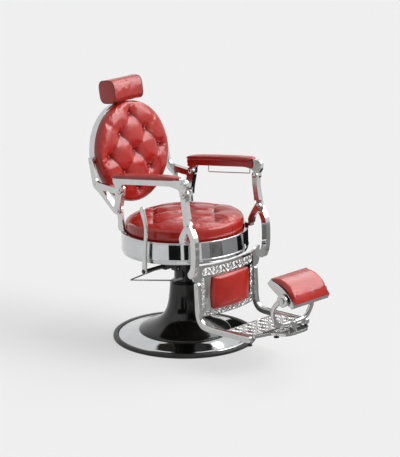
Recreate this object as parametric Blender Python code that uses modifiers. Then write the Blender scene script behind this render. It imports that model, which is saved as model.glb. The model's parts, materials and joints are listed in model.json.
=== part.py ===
"""Barber chair on a round base, with a lift, a swivel seat, and a back, arms and legrest that recline together.

Metres, +Z up. The origin is the middle of the base on the floor. The chair faces -Y, so the sitter's left is +X.
"""

from math import atan2, cos, exp, hypot, pi, radians, sin, sqrt, tan

import bmesh
import bpy
from mathutils import Matrix, Vector

# Clearances
FIT = 0.0003
RUNNING_FIT = 0.0005
MERGE = 0.00001

# Seat, in a frame tilted so that its front is higher; many places below are set out from its height and radius
SEAT_HEIGHT = 0.455
SEAT_TILT = radians(2.3)
RING_RADIUS = 0.283
RING_HEIGHT = 0.098
RING_WALL = 0.0065
RING_LIP = 0.017
LIP_HEIGHT = 0.005
RING_FLOOR = 0.0035
FLOOR_WIDTH = 0.021
BEAD = 0.002
BEAD_HEIGHT = 0.019
PAN_THICKNESS = 0.010
SEAT_CLEAR = 0.0035
SEAT_RADIUS = RING_RADIUS - RING_LIP - SEAT_CLEAR
SEAT_WIDEST = 0.022
SEAT_CROWN = 0.056
SEAT_BUTTON_PITCH = 0.095
HUB_PLATE = (0.200, 0.075, 0.018)


def behind(distance):
    """A place along Y, from the rear of the seat ring."""
    return RING_RADIUS + distance


def ahead(distance):
    """A place along Y, from the front of the seat ring."""
    return -RING_RADIUS - distance


def above(distance):
    """A height, from the middle of the seat ring."""
    return SEAT_HEIGHT + distance


# Base
RIM_RADIUS = 0.320
RIM_HEIGHT = 0.016
RIM_WIDTH = 0.022
LEDGE_HEIGHT = 0.006
LEDGE_WIDTH = 0.028
DISC_TOP = 0.034
DISC_EDGE = 0.0065
DISC_WALL = 0.008
DISC_HOLE = 0.020

# Column, gland, pump and ram
COLUMN_FOOT = 0.206
COLUMN_NECK = 0.062
COLUMN_HEIGHT = above(-0.234)
FLARE = 0.040
COLUMN_BORE = 0.050
GLAND_RADIUS = 0.058
GLAND_HEIGHT = 0.006
CYLINDER_WALL = 0.011
RAM_RADIUS = 0.035
RAM_CLEAR = 0.011
PISTON_HEIGHT = 0.015
SPIGOT_RADIUS = 0.020
SPIGOT_HEIGHT = 0.030
WASHER = 0.003
SLEEVE_RADIUS = 0.048
SLEEVE_LENGTH = 0.066

# Side linkage: pivots as (y, z), and the lanes its pieces run in, as distances from the middle
SEAT_REAR_PIVOT = (behind(-0.0975), above(0.135))
SEAT_FRONT_PIVOT = (ahead(-0.0415), above(0.1505))
ARM_REAR_PIVOT = (behind(-0.112), above(0.234))
ARM_FRONT_PIVOT = (ahead(-0.063), above(0.286))
LANE_INSET = 0.071
LANE_INNER = RING_RADIUS - LANE_INSET
LANE_WIDTH = 0.0125
ARM_WIDTH = 0.018
LUG = 0.016
LUG_CLEAR = 0.0045
BOLT_RADIUS = 0.0055
BOLT_HEAD = 0.0105
HEAD_HEIGHT = 0.0055
LOOSE_EYE = 0.004
BRACKET_WIDTH = 0.034
FOOT_HEIGHT = 0.012
FOOT_INSET = 0.0075
REAR_FOOT = sqrt((RING_RADIUS - FOOT_INSET) ** 2 - LANE_INNER ** 2)
FRONT_FOOT = ahead(-0.083)

# Lever and release bail on the right-hand side
SHAFT_PLACE = (-0.048, above(-0.079))
SHAFT_RADIUS = 0.008
SHAFT_START = 0.098
LEVER_LANE = RING_RADIUS + 0.012
LEVER_THICKNESS = 0.010
LEVER_WIDTH = 0.018
BLADE_WIDTH = 0.026
LEVER_BEND = (-0.059, above(0.120))
LEVER_TIP = (-0.037, above(0.197))
BEARING_BLOCK = (0.105, 0.185, 0.028)
BAIL_PLACE = (-0.062, above(-0.125))
BAIL_RADIUS = 0.003
BAIL_BEND = 0.010
BAIL_BOSS = (0.032, 0.020)
BAIL_CORNER = (ahead(0.047), 0.014, above(-0.125))
BAIL_KNEE = (-0.152, 0.040, above(-0.125))
BAIL_END = (-0.130, -0.058, above(-0.155))
SPRING_ANCHOR = (-0.060, -0.046, above(-0.161))
SPRING_WIRE = 0.0009
SPRING_RADIUS = 0.0050
SPRING_CURLS = 6
CURL_POINTS = 8

# Back, in a frame whose axes are across, up the back and out of its face
BACK_PLACE = (0.0, behind(0.0595), above(0.337))
BACK_LEAN = radians(10)
BACK_SHAPE = 0.948
BACK_CROWN = 0.050
HOOP_RADIUS = LANE_INNER + 0.0135
BACK_HALF_HEIGHT = HOOP_RADIUS - 0.003
HOOP_WALL = 0.007
HOOP_FRONT = 0.004
HOOP_DEPTH = 0.034
BOARD_FRONT = 0.015
BOARD_THICKNESS = 0.012
PANEL_DEPTH = 0.028
BACK_BUTTON_PITCH = (0.0775, 0.085)
RAIL_WIDTH = 0.024
RAIL_TOP = (behind(0.0715), above(0.345))
RAIL_BEND = (behind(0.043), above(0.235))
RAIL_STEP = behind(-0.008)
BOSS_RADIUS = 0.010
BOSS_DROP = 0.012

# Headrest
POST_SECTION = (0.026, 0.008)
POST_LENGTH = 0.262
POST_GAP = 0.0125
SOCKET_SIZE = (0.060, 0.090)
SOCKET_WALL = 0.007
SOCKET_LOW = HOOP_RADIUS - 0.134
HEAD_HALF = (0.088, 0.052)
HEAD_DEPTH = 0.100
HEAD_RISE = 0.0535
HEAD_DROP = 0.009
HEAD_FRONT = -0.006
HEAD_BOARD = (0.058, 0.034, 0.006)
KNUCKLE = 0.009
PIN_RADIUS = 0.004
EAR_WIDTH = 0.008

# Arms
ARM_REAR_TOP = (behind(-0.077), above(0.2828))
ARM_FRONT_TOP = (ahead(-0.084), above(0.3458))
ARM_DEPTH = 0.028
SCROLL = 0.021
PAD_HALF_WIDTH = 0.028
PAD_HEIGHT = 0.021
PANEL_THICKNESS = 0.005
TOWEL_RADIUS = 0.0025
TOWEL_REAR = behind(-0.204)
TOWEL_FRONT = ahead(-0.110)
TOWEL_DROP = 0.030

# Legrest
POST_WIDTH = 0.028
POST_PATH = (
    ARM_FRONT_PIVOT,
    (ahead(-0.061), above(0.245)),
    (ahead(-0.052), above(0.195)),
    SEAT_FRONT_PIVOT,
    (ahead(-0.021), above(0.120)),
    (ahead(-0.007), above(0.090)),
    (ahead(-0.002), above(0.045)),
    (ahead(-0.002), above(-0.005)),
    (ahead(-0.007), above(-0.040)),
    (ahead(-0.019), above(-0.065)),
)
RAIL_LANE = LANE_INNER - 0.043
LEG_RAIL_THICKNESS = 0.022
LEG_RAIL_WIDTH = 0.028
LEG_RAIL_TOP = above(-0.112)
LEG_RAIL_FRONT = (ahead(0.291), above(-0.301))
LEG_RAIL_PATH = (
    (ahead(-0.031), LEG_RAIL_TOP - LEG_RAIL_WIDTH / 2),
    (ahead(-0.026), above(-0.195)),
    (ahead(-0.022), above(-0.255)),
    (ahead(-0.006), above(-0.292)),
    (ahead(0.032), above(-0.307)),
    (ahead(0.157), above(-0.305)),
    (LEG_RAIL_FRONT[0] + LEG_RAIL_WIDTH / 2, LEG_RAIL_FRONT[1]),
)
CALF_PLATE = 0.010
CALF_FACE = ahead(-0.027)
CALF_BULGE = 0.027
CALF_STEPS = 12
CALF_HALF = (0.117, 0.0765)
CALF_CENTRE = above(-0.1695)
CALF_CROWN = 0.022
FRAME_LOW = above(-0.272)
FRAME_HIGH = above(-0.047)
PIERCING = 0.009
PLATE_REAR = (ahead(0.117), above(-0.305))
PLATE_SLOPE = radians(5)
PLATE_THICKNESS = 0.012
PLATE_LENGTH = 0.285
BUMPER_RADIUS = 0.012
BUMPER_HEIGHT = 0.012
NOSE_BUMPER = (RAIL_LANE - 0.099, -0.215)
YOKE_PLACE = -0.245
YOKE_HUB = 0.022
YOKE_HUB_HEIGHT = 0.040
YOKE_RADIUS = 0.010

# Flip-over foot pad
FLAP_PIVOT = (ahead(0.414), above(-0.110))
FLAP_CENTRE = (ahead(0.403), above(-0.0755))
FLAP_TILT = radians(32.7)
FLAP_HALF = (0.110, 0.082)
TRAY_DEPTH = 0.028
FLAP_CROWN = 0.035
ARCH_STEPS = 8
EYE_RADIUS = 0.028
EYE_WIDTH = 0.010
EYE_GAP = 0.0095
FLAP_PIN = 0.012
FLAP_EAR = 0.016

SIDES = (("left", 1), ("right", -1))
WORLD = {}

for leftover in list(bpy.data.objects):
    bpy.data.objects.remove(leftover)

parts = bpy.data.collections.new("barber_chair")
cutters = bpy.data.collections.new("cutters")
for group in (parts, cutters):
    bpy.context.scene.collection.children.link(group)


def finish(name, colour, roughness, metallic):
    """A plain material with the colour, roughness and metallic value of a finish."""
    material = bpy.data.materials.new(name)
    material.use_nodes = True
    shader = material.node_tree.nodes["Principled BSDF"]
    shader.inputs["Base Color"].default_value = (*colour, 1.0)
    shader.inputs["Roughness"].default_value = roughness
    shader.inputs["Metallic"].default_value = metallic
    material.diffuse_color = (*colour, 1.0)
    return material


CHROME = finish("chrome", (0.80, 0.81, 0.82), 0.08, 1.0)
STEEL = finish("steel", (0.55, 0.56, 0.57), 0.30, 1.0)
ENAMEL = finish("black_enamel", (0.010, 0.010, 0.010), 0.15, 0.0)
RUBBER = finish("black_rubber", (0.020, 0.020, 0.020), 0.60, 0.0)
LEATHER = finish("red_leather", (0.40, 0.022, 0.018), 0.35, 0.0)
BOARD = finish("board", (0.30, 0.20, 0.11), 0.70, 0.0)


# Placing pieces

def attach(thing, carrier=None, frame=None):
    """Links a thing, hangs it on a carrier and places it by a frame given in the object's axes."""
    parts.objects.link(thing)
    if carrier:
        thing.parent = carrier
        thing.matrix_parent_inverse = WORLD[carrier.name].inverted()
    thing.matrix_basis = frame or Matrix()
    return thing


def datum(name, place, carrier=None):
    """An empty on a joint's axis."""
    empty = bpy.data.objects.new(name, None)
    WORLD[name] = Matrix.Translation(place)
    return attach(empty, carrier, WORLD[name])


def keep(piece, material, carrier, frame=None):
    """Makes a piece one of the object's parts."""
    attach(piece, carrier, frame)
    piece.data.materials.append(material)
    if piece.type == "MESH" and piece.data.polygons:
        piece.data.shade_smooth()
        piece.data.set_sharp_from_angle(angle=radians(35))
    return piece


def boolean(piece, tool, operation, frame=None):
    """Cuts a piece with a tool, or joins the tool to it."""
    cutters.objects.link(tool)
    tool.matrix_basis = frame or Matrix()
    tool.hide_render = True
    tool.display_type = "WIRE"
    step = piece.modifiers.new(tool.name, "BOOLEAN")
    step.operation = operation
    step.object = tool


def cut(piece, tool, frame=None):
    boolean(piece, tool, "DIFFERENCE", frame)


def join(piece, tool, frame=None):
    boolean(piece, tool, "UNION", frame)


# Basic shapes

def from_bmesh(name, bm):
    mesh = bpy.data.meshes.new(name)
    bm.to_mesh(mesh)
    bm.free()
    return bpy.data.objects.new(name, mesh)


def bar(name, start, end, radius, sides=16):
    """A round bar between two points."""
    start, end = Vector(start), Vector(end)
    bm = bmesh.new()
    bmesh.ops.create_cone(bm, cap_ends=True, segments=sides, radius1=radius, radius2=radius,
                          depth=(end - start).length)
    turn = (end - start).to_track_quat("Z", "Y").to_matrix().to_4x4()
    bmesh.ops.transform(bm, matrix=Matrix.Translation((start + end) / 2) @ turn, verts=bm.verts)
    return from_bmesh(name, bm)


def block(name, low, high):
    """A box between two corners."""
    low, high = Vector(low), Vector(high)
    low, high = Vector(map(min, low, high)), Vector(map(max, low, high))
    bm = bmesh.new()
    bmesh.ops.create_cube(bm, size=1.0)
    bmesh.ops.scale(bm, vec=high - low, verts=bm.verts)
    bmesh.ops.translate(bm, vec=(low + high) / 2, verts=bm.verts)
    return from_bmesh(name, bm)


def turned(name, profile, steps, ring=False):
    """A profile of (radius, height) turned about Z, given down its outer side."""
    mesh = bpy.data.meshes.new(name)
    count = len(profile)
    edges = [(i, i + 1) for i in range(count - 1)]
    if ring:
        edges.append((count - 1, 0))
    mesh.from_pydata([(radius, 0.0, height) for radius, height in profile], edges, [])
    piece = bpy.data.objects.new(name, mesh)
    screw = piece.modifiers.new("turn", "SCREW")
    screw.steps = steps
    screw.render_steps = steps
    screw.use_merge_vertices = True
    screw.merge_threshold = MERGE
    return piece


def as_mesh(piece):
    """The mesh of a curve, with its caps welded on."""
    name = piece.name
    frame = piece.matrix_basis.copy()
    cutters.objects.link(piece)
    graph = bpy.context.evaluated_depsgraph_get()
    mesh = bpy.data.meshes.new_from_object(piece.evaluated_get(graph))
    bpy.data.objects.remove(piece)
    bm = bmesh.new()
    bm.from_mesh(mesh)
    bmesh.ops.remove_doubles(bm, verts=bm.verts, dist=MERGE)
    bmesh.ops.transform(bm, matrix=frame, verts=bm.verts)
    bmesh.ops.recalc_face_normals(bm, faces=bm.faces)
    bm.to_mesh(mesh)
    bm.free()
    return bpy.data.objects.new(name, mesh)


def tube(name, points, radius, sides=2):
    """A wire or tube along points."""
    curve = bpy.data.curves.new(name, "CURVE")
    curve.dimensions = "3D"
    curve.bevel_depth = radius
    curve.bevel_resolution = sides
    curve.use_fill_caps = True
    spline = curve.splines.new("POLY")
    spline.points.add(len(points) - 1)
    for knot, point in zip(spline.points, points):
        knot.co = (*point, 1.0)
    return bpy.data.objects.new(name, curve)


def plate(name, outline, thickness, frame):
    """A flat plate with an outline in its own plane."""
    points = []
    for point in map(Vector, outline):
        if not points or (point - points[-1]).length > FIT:
            points.append(point)
    bm = bmesh.new()
    loops = [[bm.verts.new(frame @ Vector((*point, height))) for point in points]
             for height in (-thickness / 2, thickness / 2)]
    for i in range(len(points)):
        bm.faces.new((loops[0][i - 1], loops[0][i], loops[1][i], loops[1][i - 1]))
    bm.faces.new(loops[-1])
    bm.faces.new(reversed(loops[0]))
    bmesh.ops.recalc_face_normals(bm, faces=bm.faces)
    return from_bmesh(name, bm)


def pierced_plate(name, outline, holes, thickness, frame):
    """A flat plate with an outline and holes in its own plane."""
    curve = bpy.data.curves.new(name, "CURVE")
    curve.dimensions = "2D"
    curve.fill_mode = "BOTH"
    curve.extrude = thickness / 2
    for loop in (outline, *holes):
        spline = curve.splines.new("POLY")
        spline.points.add(len(loop) - 1)
        for knot, (across, up) in zip(spline.points, loop):
            knot.co = (across, up, 0.0, 1.0)
        spline.use_cyclic_u = True
    piece = bpy.data.objects.new(name, curve)
    piece.matrix_basis = frame
    return as_mesh(piece)


def side_frame(x):
    """The frame of a plate whose outline is given as (y, z) in the side view."""
    return Matrix(((0, 0, 1, x), (1, 0, 0, 0), (0, 1, 0, 0), (0, 0, 0, 1)))


def side_plate(name, outline, inner, outer, sign):
    """A plate of the side view between two distances from the middle."""
    return plate(name, outline, outer - inner, side_frame(sign * (inner + outer) / 2))


def drill(piece, place, radius, inner, outer, sign):
    """A hole along X at (y, z) through a piece, between two distances from the middle."""
    y, z = place
    cut(piece, bar(piece.name + "_bore", (sign * inner, y, z), (sign * outer, y, z), radius, 14))


# Outlines

def along(points, steps):
    """Points on a smooth curve through the given ones."""
    points = [Vector(p) for p in points]
    points = [2 * points[0] - points[1], *points, 2 * points[-1] - points[-2]]
    smooth = []
    for a, b, c, d in zip(points, points[1:], points[2:], points[3:]):
        for k in range(steps):
            t = k / steps
            smooth.append(0.5 * (2 * b + (c - a) * t + (2 * a - 5 * b + 4 * c - d) * t * t
                                 + (3 * b - a - 3 * c + d) * t ** 3))
    return [*smooth, points[-2]]


def ribbon(path, widths, steps=3, cap=6):
    """The outline of a strip of varying width along a smooth path, round at both ends."""
    knots = along([(y, z, w) for (y, z), w in zip(path, widths)], steps)
    left, right = [], []
    for i, knot in enumerate(knots):
        ahead = knots[min(i + 1, len(knots) - 1)] - knots[max(i - 1, 0)]
        normal = Vector((-ahead.y, ahead.x)).normalized() * knot.z / 2
        left.append(knot.xy + normal)
        right.append(knot.xy - normal)
    caps = []
    for knot, start in ((knots[-1], left[-1]), (knots[0], right[0])):
        first = atan2(start.y - knot.y, start.x - knot.x)
        caps.append([(knot.x + knot.z / 2 * cos(first - pi * k / cap),
                      knot.y + knot.z / 2 * sin(first - pi * k / cap)) for k in range(1, cap)])
    return [*left, *caps[0], *reversed(right), *caps[1]]


def rounded(corners, steps=3):
    """A closed outline through corners of (across, along, cut), each rounded over its cut."""
    outline = []
    count = len(corners)
    for i, (x, y, length) in enumerate(corners):
        corner = Vector((x, y))
        before = Vector(corners[i - 1][:2]) - corner
        after = Vector(corners[(i + 1) % count][:2]) - corner
        start = corner + before.normalized() * min(length, before.length / 2.02)
        end = corner + after.normalized() * min(length, after.length / 2.02)
        for k in range(steps + 1):
            t = k / steps
            outline.append(start * (1 - t) ** 2 + corner * 2 * t * (1 - t) + end * t * t)
    return outline


def circle(x, y, radius, sides=8):
    return [(x + radius * cos(2 * pi * k / sides), y + radius * sin(2 * pi * k / sides)) for k in range(sides)]


def mirrored(half):
    """A whole outline of corners from its half on the +X side, given from bottom to top."""
    return [*half, *((-x, y, length) for x, y, length in reversed(half))]


# Soft forms

def tufts(pitch_x, pitch_y, depth, reach, fold, fold_reach, edge):
    """How far the buttons of a diamond pattern, and the folds between them, draw a face in at a point."""
    places = [(i, j) for i in range(-2, 3) for j in range(-2, 3)
              if (i + j) % 2 == 0 and abs(i) + abs(j) <= 2]
    buttons = [Vector((i * pitch_x, j * pitch_y)) for i, j in places]
    folds = []
    for (i, j), button in zip(places, buttons):
        for step in ((1, 1), (1, -1)):
            if (i + step[0], j + step[1]) in places:
                folds.append((button, Vector(((i + step[0]) * pitch_x, (j + step[1]) * pitch_y))))
        if abs(i) + abs(j) == 2:
            folds.append((button, button.normalized() * edge))

    def press(x, y):
        point = Vector((x, y))
        drawn = sum(depth * exp(-((point - button).length / reach) ** 2) for button in buttons)
        gaps = []
        for a, b in folds:
            t = max(0.0, min(1.0, (point - a).dot(b - a) / (b - a).length_squared))
            gaps.append((point - a - (b - a) * t).length)
        return drawn + fold * exp(-(min(gaps) / fold_reach) ** 2)

    return press


def cushion(name, half, cells, corner, crown, flatness, skirt, press=None, bend=None):
    """A crowned form over a plan that is square-cornered at corner 0 and round at 1.

    Its face rises from its widest line to the crown, and the skirt's (height, share) loops close it below.
    A bend, where there is one, lifts each point by its place across.
    """
    bm = bmesh.new()
    bmesh.ops.create_grid(bm, x_segments=cells[0], y_segments=cells[1], size=1.0)
    for vert in bm.verts:
        t = max(abs(vert.co.x), abs(vert.co.y), MERGE)
        a, b = vert.co.x / t, vert.co.y / t
        x = half[0] * a * sqrt(1 - corner * b * b / 2) * sin(t * pi / 2)
        y = half[1] * b * sqrt(1 - corner * a * a / 2) * sin(t * pi / 2)
        height = crown * max(cos(t * pi / 2), 0.0) ** (2 / flatness)
        if press:
            height -= press(x, y) * (1 - t ** 6)
        vert.co = (x, y, height)
    rim = 1.0
    for height, share in skirt:
        edges = [edge for edge in bm.edges if edge.is_boundary]
        made = bmesh.ops.extrude_edge_only(bm, edges=edges)["geom"]
        for vert in made:
            if isinstance(vert, bmesh.types.BMVert):
                vert.co = (vert.co.x * share / rim, vert.co.y * share / rim, height)
        rim = share
    bmesh.ops.edgeloop_fill(bm, edges=[edge for edge in bm.edges if edge.is_boundary])
    if bend:
        for column in range(1, cells[0]):
            across = half[0] * (2 * column / cells[0] - 1)
            bmesh.ops.bisect_plane(bm, geom=[*bm.verts, *bm.edges, *bm.faces], dist=MERGE,
                                   plane_co=(across, 0, 0), plane_no=(1, 0, 0))
        for vert in bm.verts:
            vert.co.z += bend(vert.co.x)
    bmesh.ops.recalc_face_normals(bm, faces=bm.faces)
    return from_bmesh(name, bm)


# Datums on the joint axes

lift_axis = datum("lift_axis", (0, 0, DISC_TOP))
swivel_axis = datum("swivel_axis", (0, 0, DISC_TOP + COLUMN_HEIGHT), lift_axis)
recline_axis = datum("recline_axis", (0, *SEAT_REAR_PIVOT), swivel_axis)
legrest_axis = datum("legrest_axis", (0, *SEAT_FRONT_PIVOT), swivel_axis)
lever_axis = datum("lever_axis", (-LEVER_LANE, *SHAFT_PLACE), swivel_axis)
bail_axis = datum("bail_axis", (BAIL_PLACE[0], 0, BAIL_PLACE[1]), swivel_axis)
flap_axis = datum("flap_axis", (0, *FLAP_PIVOT), legrest_axis)
arm_axes = {side: datum("arm_axis_" + side, (sign * LANE_INNER, *ARM_REAR_PIVOT), recline_axis)
            for side, sign in SIDES}

seat_frame = Matrix.Translation((0, 0, SEAT_HEIGHT)) @ Matrix.Rotation(-SEAT_TILT, 4, "X")
back_frame = Matrix.Translation(BACK_PLACE) @ Matrix.Rotation(pi / 2 - BACK_LEAN, 4, "X")
post_depth = BOARD_FRONT + BOARD_THICKNESS + PANEL_DEPTH + POST_GAP + POST_SECTION[1] / 2
head_up = HOOP_RADIUS + HEAD_RISE
knuckle_up = head_up + HEAD_DROP
headrest_slide = datum("headrest_slide", back_frame @ Vector((0, 0, -post_depth)), recline_axis)
headrest_axis = datum("headrest_axis", back_frame @ Vector((0, knuckle_up, -post_depth)), headrest_slide)


# Base and column

disc_radius = RIM_RADIUS - RIM_WIDTH
ledge_radius = disc_radius - LEDGE_WIDTH
keep(turned("base_rim", (
    (RIM_RADIUS - RIM_HEIGHT / 4, RIM_HEIGHT),
    (RIM_RADIUS, RIM_HEIGHT * 2 / 3),
    (RIM_RADIUS, 0.0),
    (ledge_radius, 0.0),
    (ledge_radius, LEDGE_HEIGHT),
    (disc_radius + FIT, LEDGE_HEIGHT),
    (disc_radius + FIT, RIM_HEIGHT),
), 40, ring=True), RUBBER, None)

disc_low = LEDGE_HEIGHT + FIT
keep(turned("base_disc", (
    (COLUMN_FOOT, DISC_TOP),
    ((COLUMN_FOOT + disc_radius) / 2, (DISC_TOP + disc_low + DISC_EDGE) / 2 - DISC_EDGE / 4),
    (disc_radius - FIT, disc_low + DISC_EDGE),
    (disc_radius - FIT, disc_low),
    (ledge_radius, disc_low),
    (COLUMN_FOOT, DISC_TOP - DISC_WALL),
    (DISC_HOLE, DISC_TOP - DISC_WALL),
    (DISC_HOLE, DISC_TOP),
), 40, ring=True), CHROME, None)

column_low = DISC_TOP + FIT
column_top = column_low + COLUMN_HEIGHT
flare_rows = 8
column_profile = []
for row in range(flare_rows + 1):
    rise = COLUMN_HEIGHT * (1 - row / flare_rows) ** 1.6
    spread = (COLUMN_FOOT - COLUMN_NECK) / (1 + (rise / FLARE) ** 2)
    column_profile.append((COLUMN_NECK + spread, column_low + rise))
hollow = ((COLUMN_FOOT * 0.95, 0.0), (COLUMN_FOOT * 0.58, 0.16), (COLUMN_FOOT * 0.39, 0.34), (COLUMN_BORE, 0.60))
column_profile += [(radius, column_low + COLUMN_HEIGHT * share) for radius, share in hollow]
column_profile.append((COLUMN_BORE, column_top))
keep(turned("column", column_profile, 28, ring=True), ENAMEL, None)

cylinder_bore = COLUMN_BORE - FIT - CYLINDER_WALL
ram_low = column_low + RAM_CLEAR
keep(turned("pump_cylinder", (
    (0.0, column_low + RAM_CLEAR / 2),
    (cylinder_bore, column_low + RAM_CLEAR / 2),
    (cylinder_bore, column_top),
    (COLUMN_BORE - FIT, column_top),
    (COLUMN_BORE - FIT, column_low),
    (DISC_HOLE - FIT, column_low),
    (DISC_HOLE - FIT, 0.0),
    (0.0, 0.0),
), 28), STEEL, None)

gland_low = column_top + FIT
gland_top = gland_low + GLAND_HEIGHT
keep(turned("column_gland", (
    (GLAND_RADIUS - GLAND_HEIGHT / 4, gland_top),
    (GLAND_RADIUS, gland_top - GLAND_HEIGHT / 4),
    (GLAND_RADIUS, gland_low),
    (RAM_RADIUS + RUNNING_FIT, gland_low),
    (RAM_RADIUS + RUNNING_FIT, gland_top),
), 24, ring=True), ENAMEL, None)

sleeve_low = gland_top + RUNNING_FIT
shoulder = sleeve_low + SLEEVE_LENGTH
piston_radius = cylinder_bore - RUNNING_FIT
keep(turned("ram", (
    (0.0, shoulder + SPIGOT_HEIGHT),
    (SPIGOT_RADIUS, shoulder + SPIGOT_HEIGHT),
    (SPIGOT_RADIUS, shoulder),
    (RAM_RADIUS, shoulder),
    (RAM_RADIUS, ram_low + PISTON_HEIGHT),
    (piston_radius, ram_low + PISTON_HEIGHT),
    (piston_radius, ram_low),
    (0.0, ram_low),
), 24), CHROME, lift_axis)

washer_low = shoulder + FIT
washer_top = washer_low + WASHER
keep(turned("swivel_washer", (
    (RAM_RADIUS - RUNNING_FIT, washer_top),
    (RAM_RADIUS - RUNNING_FIT, washer_low),
    (SPIGOT_RADIUS + RUNNING_FIT, washer_low),
    (SPIGOT_RADIUS + RUNNING_FIT, washer_top),
), 24, ring=True), STEEL, lift_axis)


# Seat

ring_top = RING_HEIGHT / 2
ring_low = -RING_HEIGHT / 2
ring_bore = RING_RADIUS - RING_WALL
bead_z = ring_low + BEAD_HEIGHT
pan_low = ring_low + RING_FLOOR + FIT
pan_top = pan_low + PAN_THICKNESS
keep(turned("seat_ring", (
    (RING_RADIUS - LIP_HEIGHT / 3, ring_top),
    (RING_RADIUS, ring_top - LIP_HEIGHT / 3),
    (RING_RADIUS, ring_top - LIP_HEIGHT),
    (RING_RADIUS - BEAD, ring_top - LIP_HEIGHT - BEAD),
    (RING_RADIUS - BEAD, bead_z + BEAD),
    (RING_RADIUS, bead_z),
    (RING_RADIUS - BEAD, bead_z - BEAD),
    (RING_RADIUS - BEAD * 2, ring_low + RING_FLOOR * 2),
    (RING_RADIUS - RING_WALL, ring_low),
    (RING_RADIUS - FLOOR_WIDTH, ring_low),
    (RING_RADIUS - FLOOR_WIDTH, ring_low + RING_FLOOR),
    (ring_bore, ring_low + RING_FLOOR),
    (ring_bore, ring_top - LIP_HEIGHT),
    (RING_RADIUS - RING_LIP, ring_top - LIP_HEIGHT),
    (RING_RADIUS - RING_LIP, ring_top),
), 36, ring=True), CHROME, swivel_axis, seat_frame)

keep(turned("seat_pan", (
    (0.0, pan_top),
    (ring_bore - FIT, pan_top),
    (ring_bore - FIT, pan_low),
    (0.0, pan_low),
), 36), BOARD, swivel_axis, seat_frame)

seat_plane = ring_top + SEAT_WIDEST
seat_press = tufts(SEAT_BUTTON_PITCH, SEAT_BUTTON_PITCH, 0.010, 0.026, 0.005, 0.013, SEAT_RADIUS)
keep(cushion("seat_cushion", (SEAT_RADIUS, SEAT_RADIUS), (16, 16), 1.0, SEAT_CROWN, 2.6, (
    (ring_top - seat_plane, 0.985),
    (pan_top + FIT - seat_plane, 0.985),
), seat_press), LEATHER, swivel_axis, seat_frame @ Matrix.Translation((0, 0, seat_plane)))

# Hub: a sleeve over the ram with a plate under the pan, a lever bearing and a boss for the bail
hub_top = SEAT_HEIGHT + pan_low - HUB_PLATE[2] / 2
hub_bore = SPIGOT_RADIUS + RUNNING_FIT
hub = turned("swivel_hub", (
    (0.0, hub_top),
    (SLEEVE_RADIUS, hub_top),
    (SLEEVE_RADIUS, sleeve_low),
    (RAM_RADIUS + RUNNING_FIT, sleeve_low),
    (RAM_RADIUS + RUNNING_FIT, washer_top + FIT),
    (hub_bore, washer_top + FIT),
    (hub_bore, shoulder + SPIGOT_HEIGHT + FIT),
    (0.0, shoulder + SPIGOT_HEIGHT + FIT),
), 24)
keep(hub, ENAMEL, swivel_axis)
plate_top = pan_low - FIT
plate_low = plate_top - HUB_PLATE[2]
join(hub, block("hub_plate", (-HUB_PLATE[0], -HUB_PLATE[1], plate_low), (HUB_PLATE[0], HUB_PLATE[1], plate_top)),
     seat_frame)
shaft_y, shaft_z = SHAFT_PLACE
bearing_low = shaft_z - SHAFT_RADIUS * 2
join(hub, block("lever_bearing",
                (-BEARING_BLOCK[0], shaft_y - BEARING_BLOCK[2] / 2, bearing_low),
                (-BEARING_BLOCK[1], shaft_y + BEARING_BLOCK[2] / 2, SEAT_HEIGHT + plate_low + HUB_PLATE[2] / 2)))
bail_x, bail_z = BAIL_PLACE
boss_reach = bail_x - BAIL_RADIUS * 3
join(hub, block("bail_boss",
                (boss_reach, -BAIL_BOSS[0] / 2, bail_z - BAIL_BOSS[1] / 2),
                (-SLEEVE_RADIUS / 1.2, BAIL_BOSS[0] / 2, bail_z + BAIL_BOSS[1] / 2)))
anchor = Vector(SPRING_ANCHOR)
join(hub, bar("spring_eye", anchor * Vector((0.58, 0.58, 1.0)), anchor, SPRING_RADIUS, 12))
drill(hub, SHAFT_PLACE, SHAFT_RADIUS + FIT, BEARING_BLOCK[0] - BEARING_BLOCK[2],
      BEARING_BLOCK[1] + BEARING_BLOCK[2], -1)
cut(hub, bar("bail_bore", (bail_x, -BAIL_BOSS[0], bail_z), (bail_x, BAIL_BOSS[0], bail_z), BAIL_RADIUS + FIT, 16))


# Brackets from the seat ring to the pivots, and the bolts of the pivots

lane_split = LANE_INNER + LANE_WIDTH
lane_outer = lane_split + LANE_WIDTH
inner_lane = (LANE_INNER, lane_split - FIT)
arm_lane = (lane_split + FIT, lane_split + ARM_WIDTH)


def seat_top(y):
    """Height of the ring's top at a distance behind the swivel axis."""
    return SEAT_HEIGHT + (ring_top - y * sin(SEAT_TILT)) / cos(SEAT_TILT)


def bracket(name, sign, pivot, foot_y):
    """A lug at a pivot on a strip that stands on the ring's lip."""
    foot_z = seat_top(foot_y) + FOOT_HEIGHT / 3
    middle = ((pivot[0] + foot_y) / 2 + (foot_y - pivot[0]) / 4, (pivot[1] + foot_z) / 2)
    outline = ribbon((pivot, middle, (foot_y, foot_z + BRACKET_WIDTH / 2)),
                     (2 * LUG, BRACKET_WIDTH * 0.8, BRACKET_WIDTH))
    piece = side_plate(name, outline, *inner_lane, sign)
    keep(piece, CHROME, swivel_axis)
    lip_y = abs(foot_y) - BRACKET_WIDTH / 2
    reach = sqrt((RING_RADIUS - RING_LIP) ** 2 - lip_y ** 2)
    step = BRACKET_WIDTH / 2
    join(piece, block(name + "_foot", (sign * reach, foot_y - step, ring_top + FIT),
                      (sign * (LANE_INNER + LANE_WIDTH / 2), foot_y + step, ring_top + FIT + FOOT_HEIGHT)),
         seat_frame)
    drill(piece, pivot, BOLT_RADIUS + FIT, *(LANE_INNER - LUG, lane_split + LUG), sign)
    return piece


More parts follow.
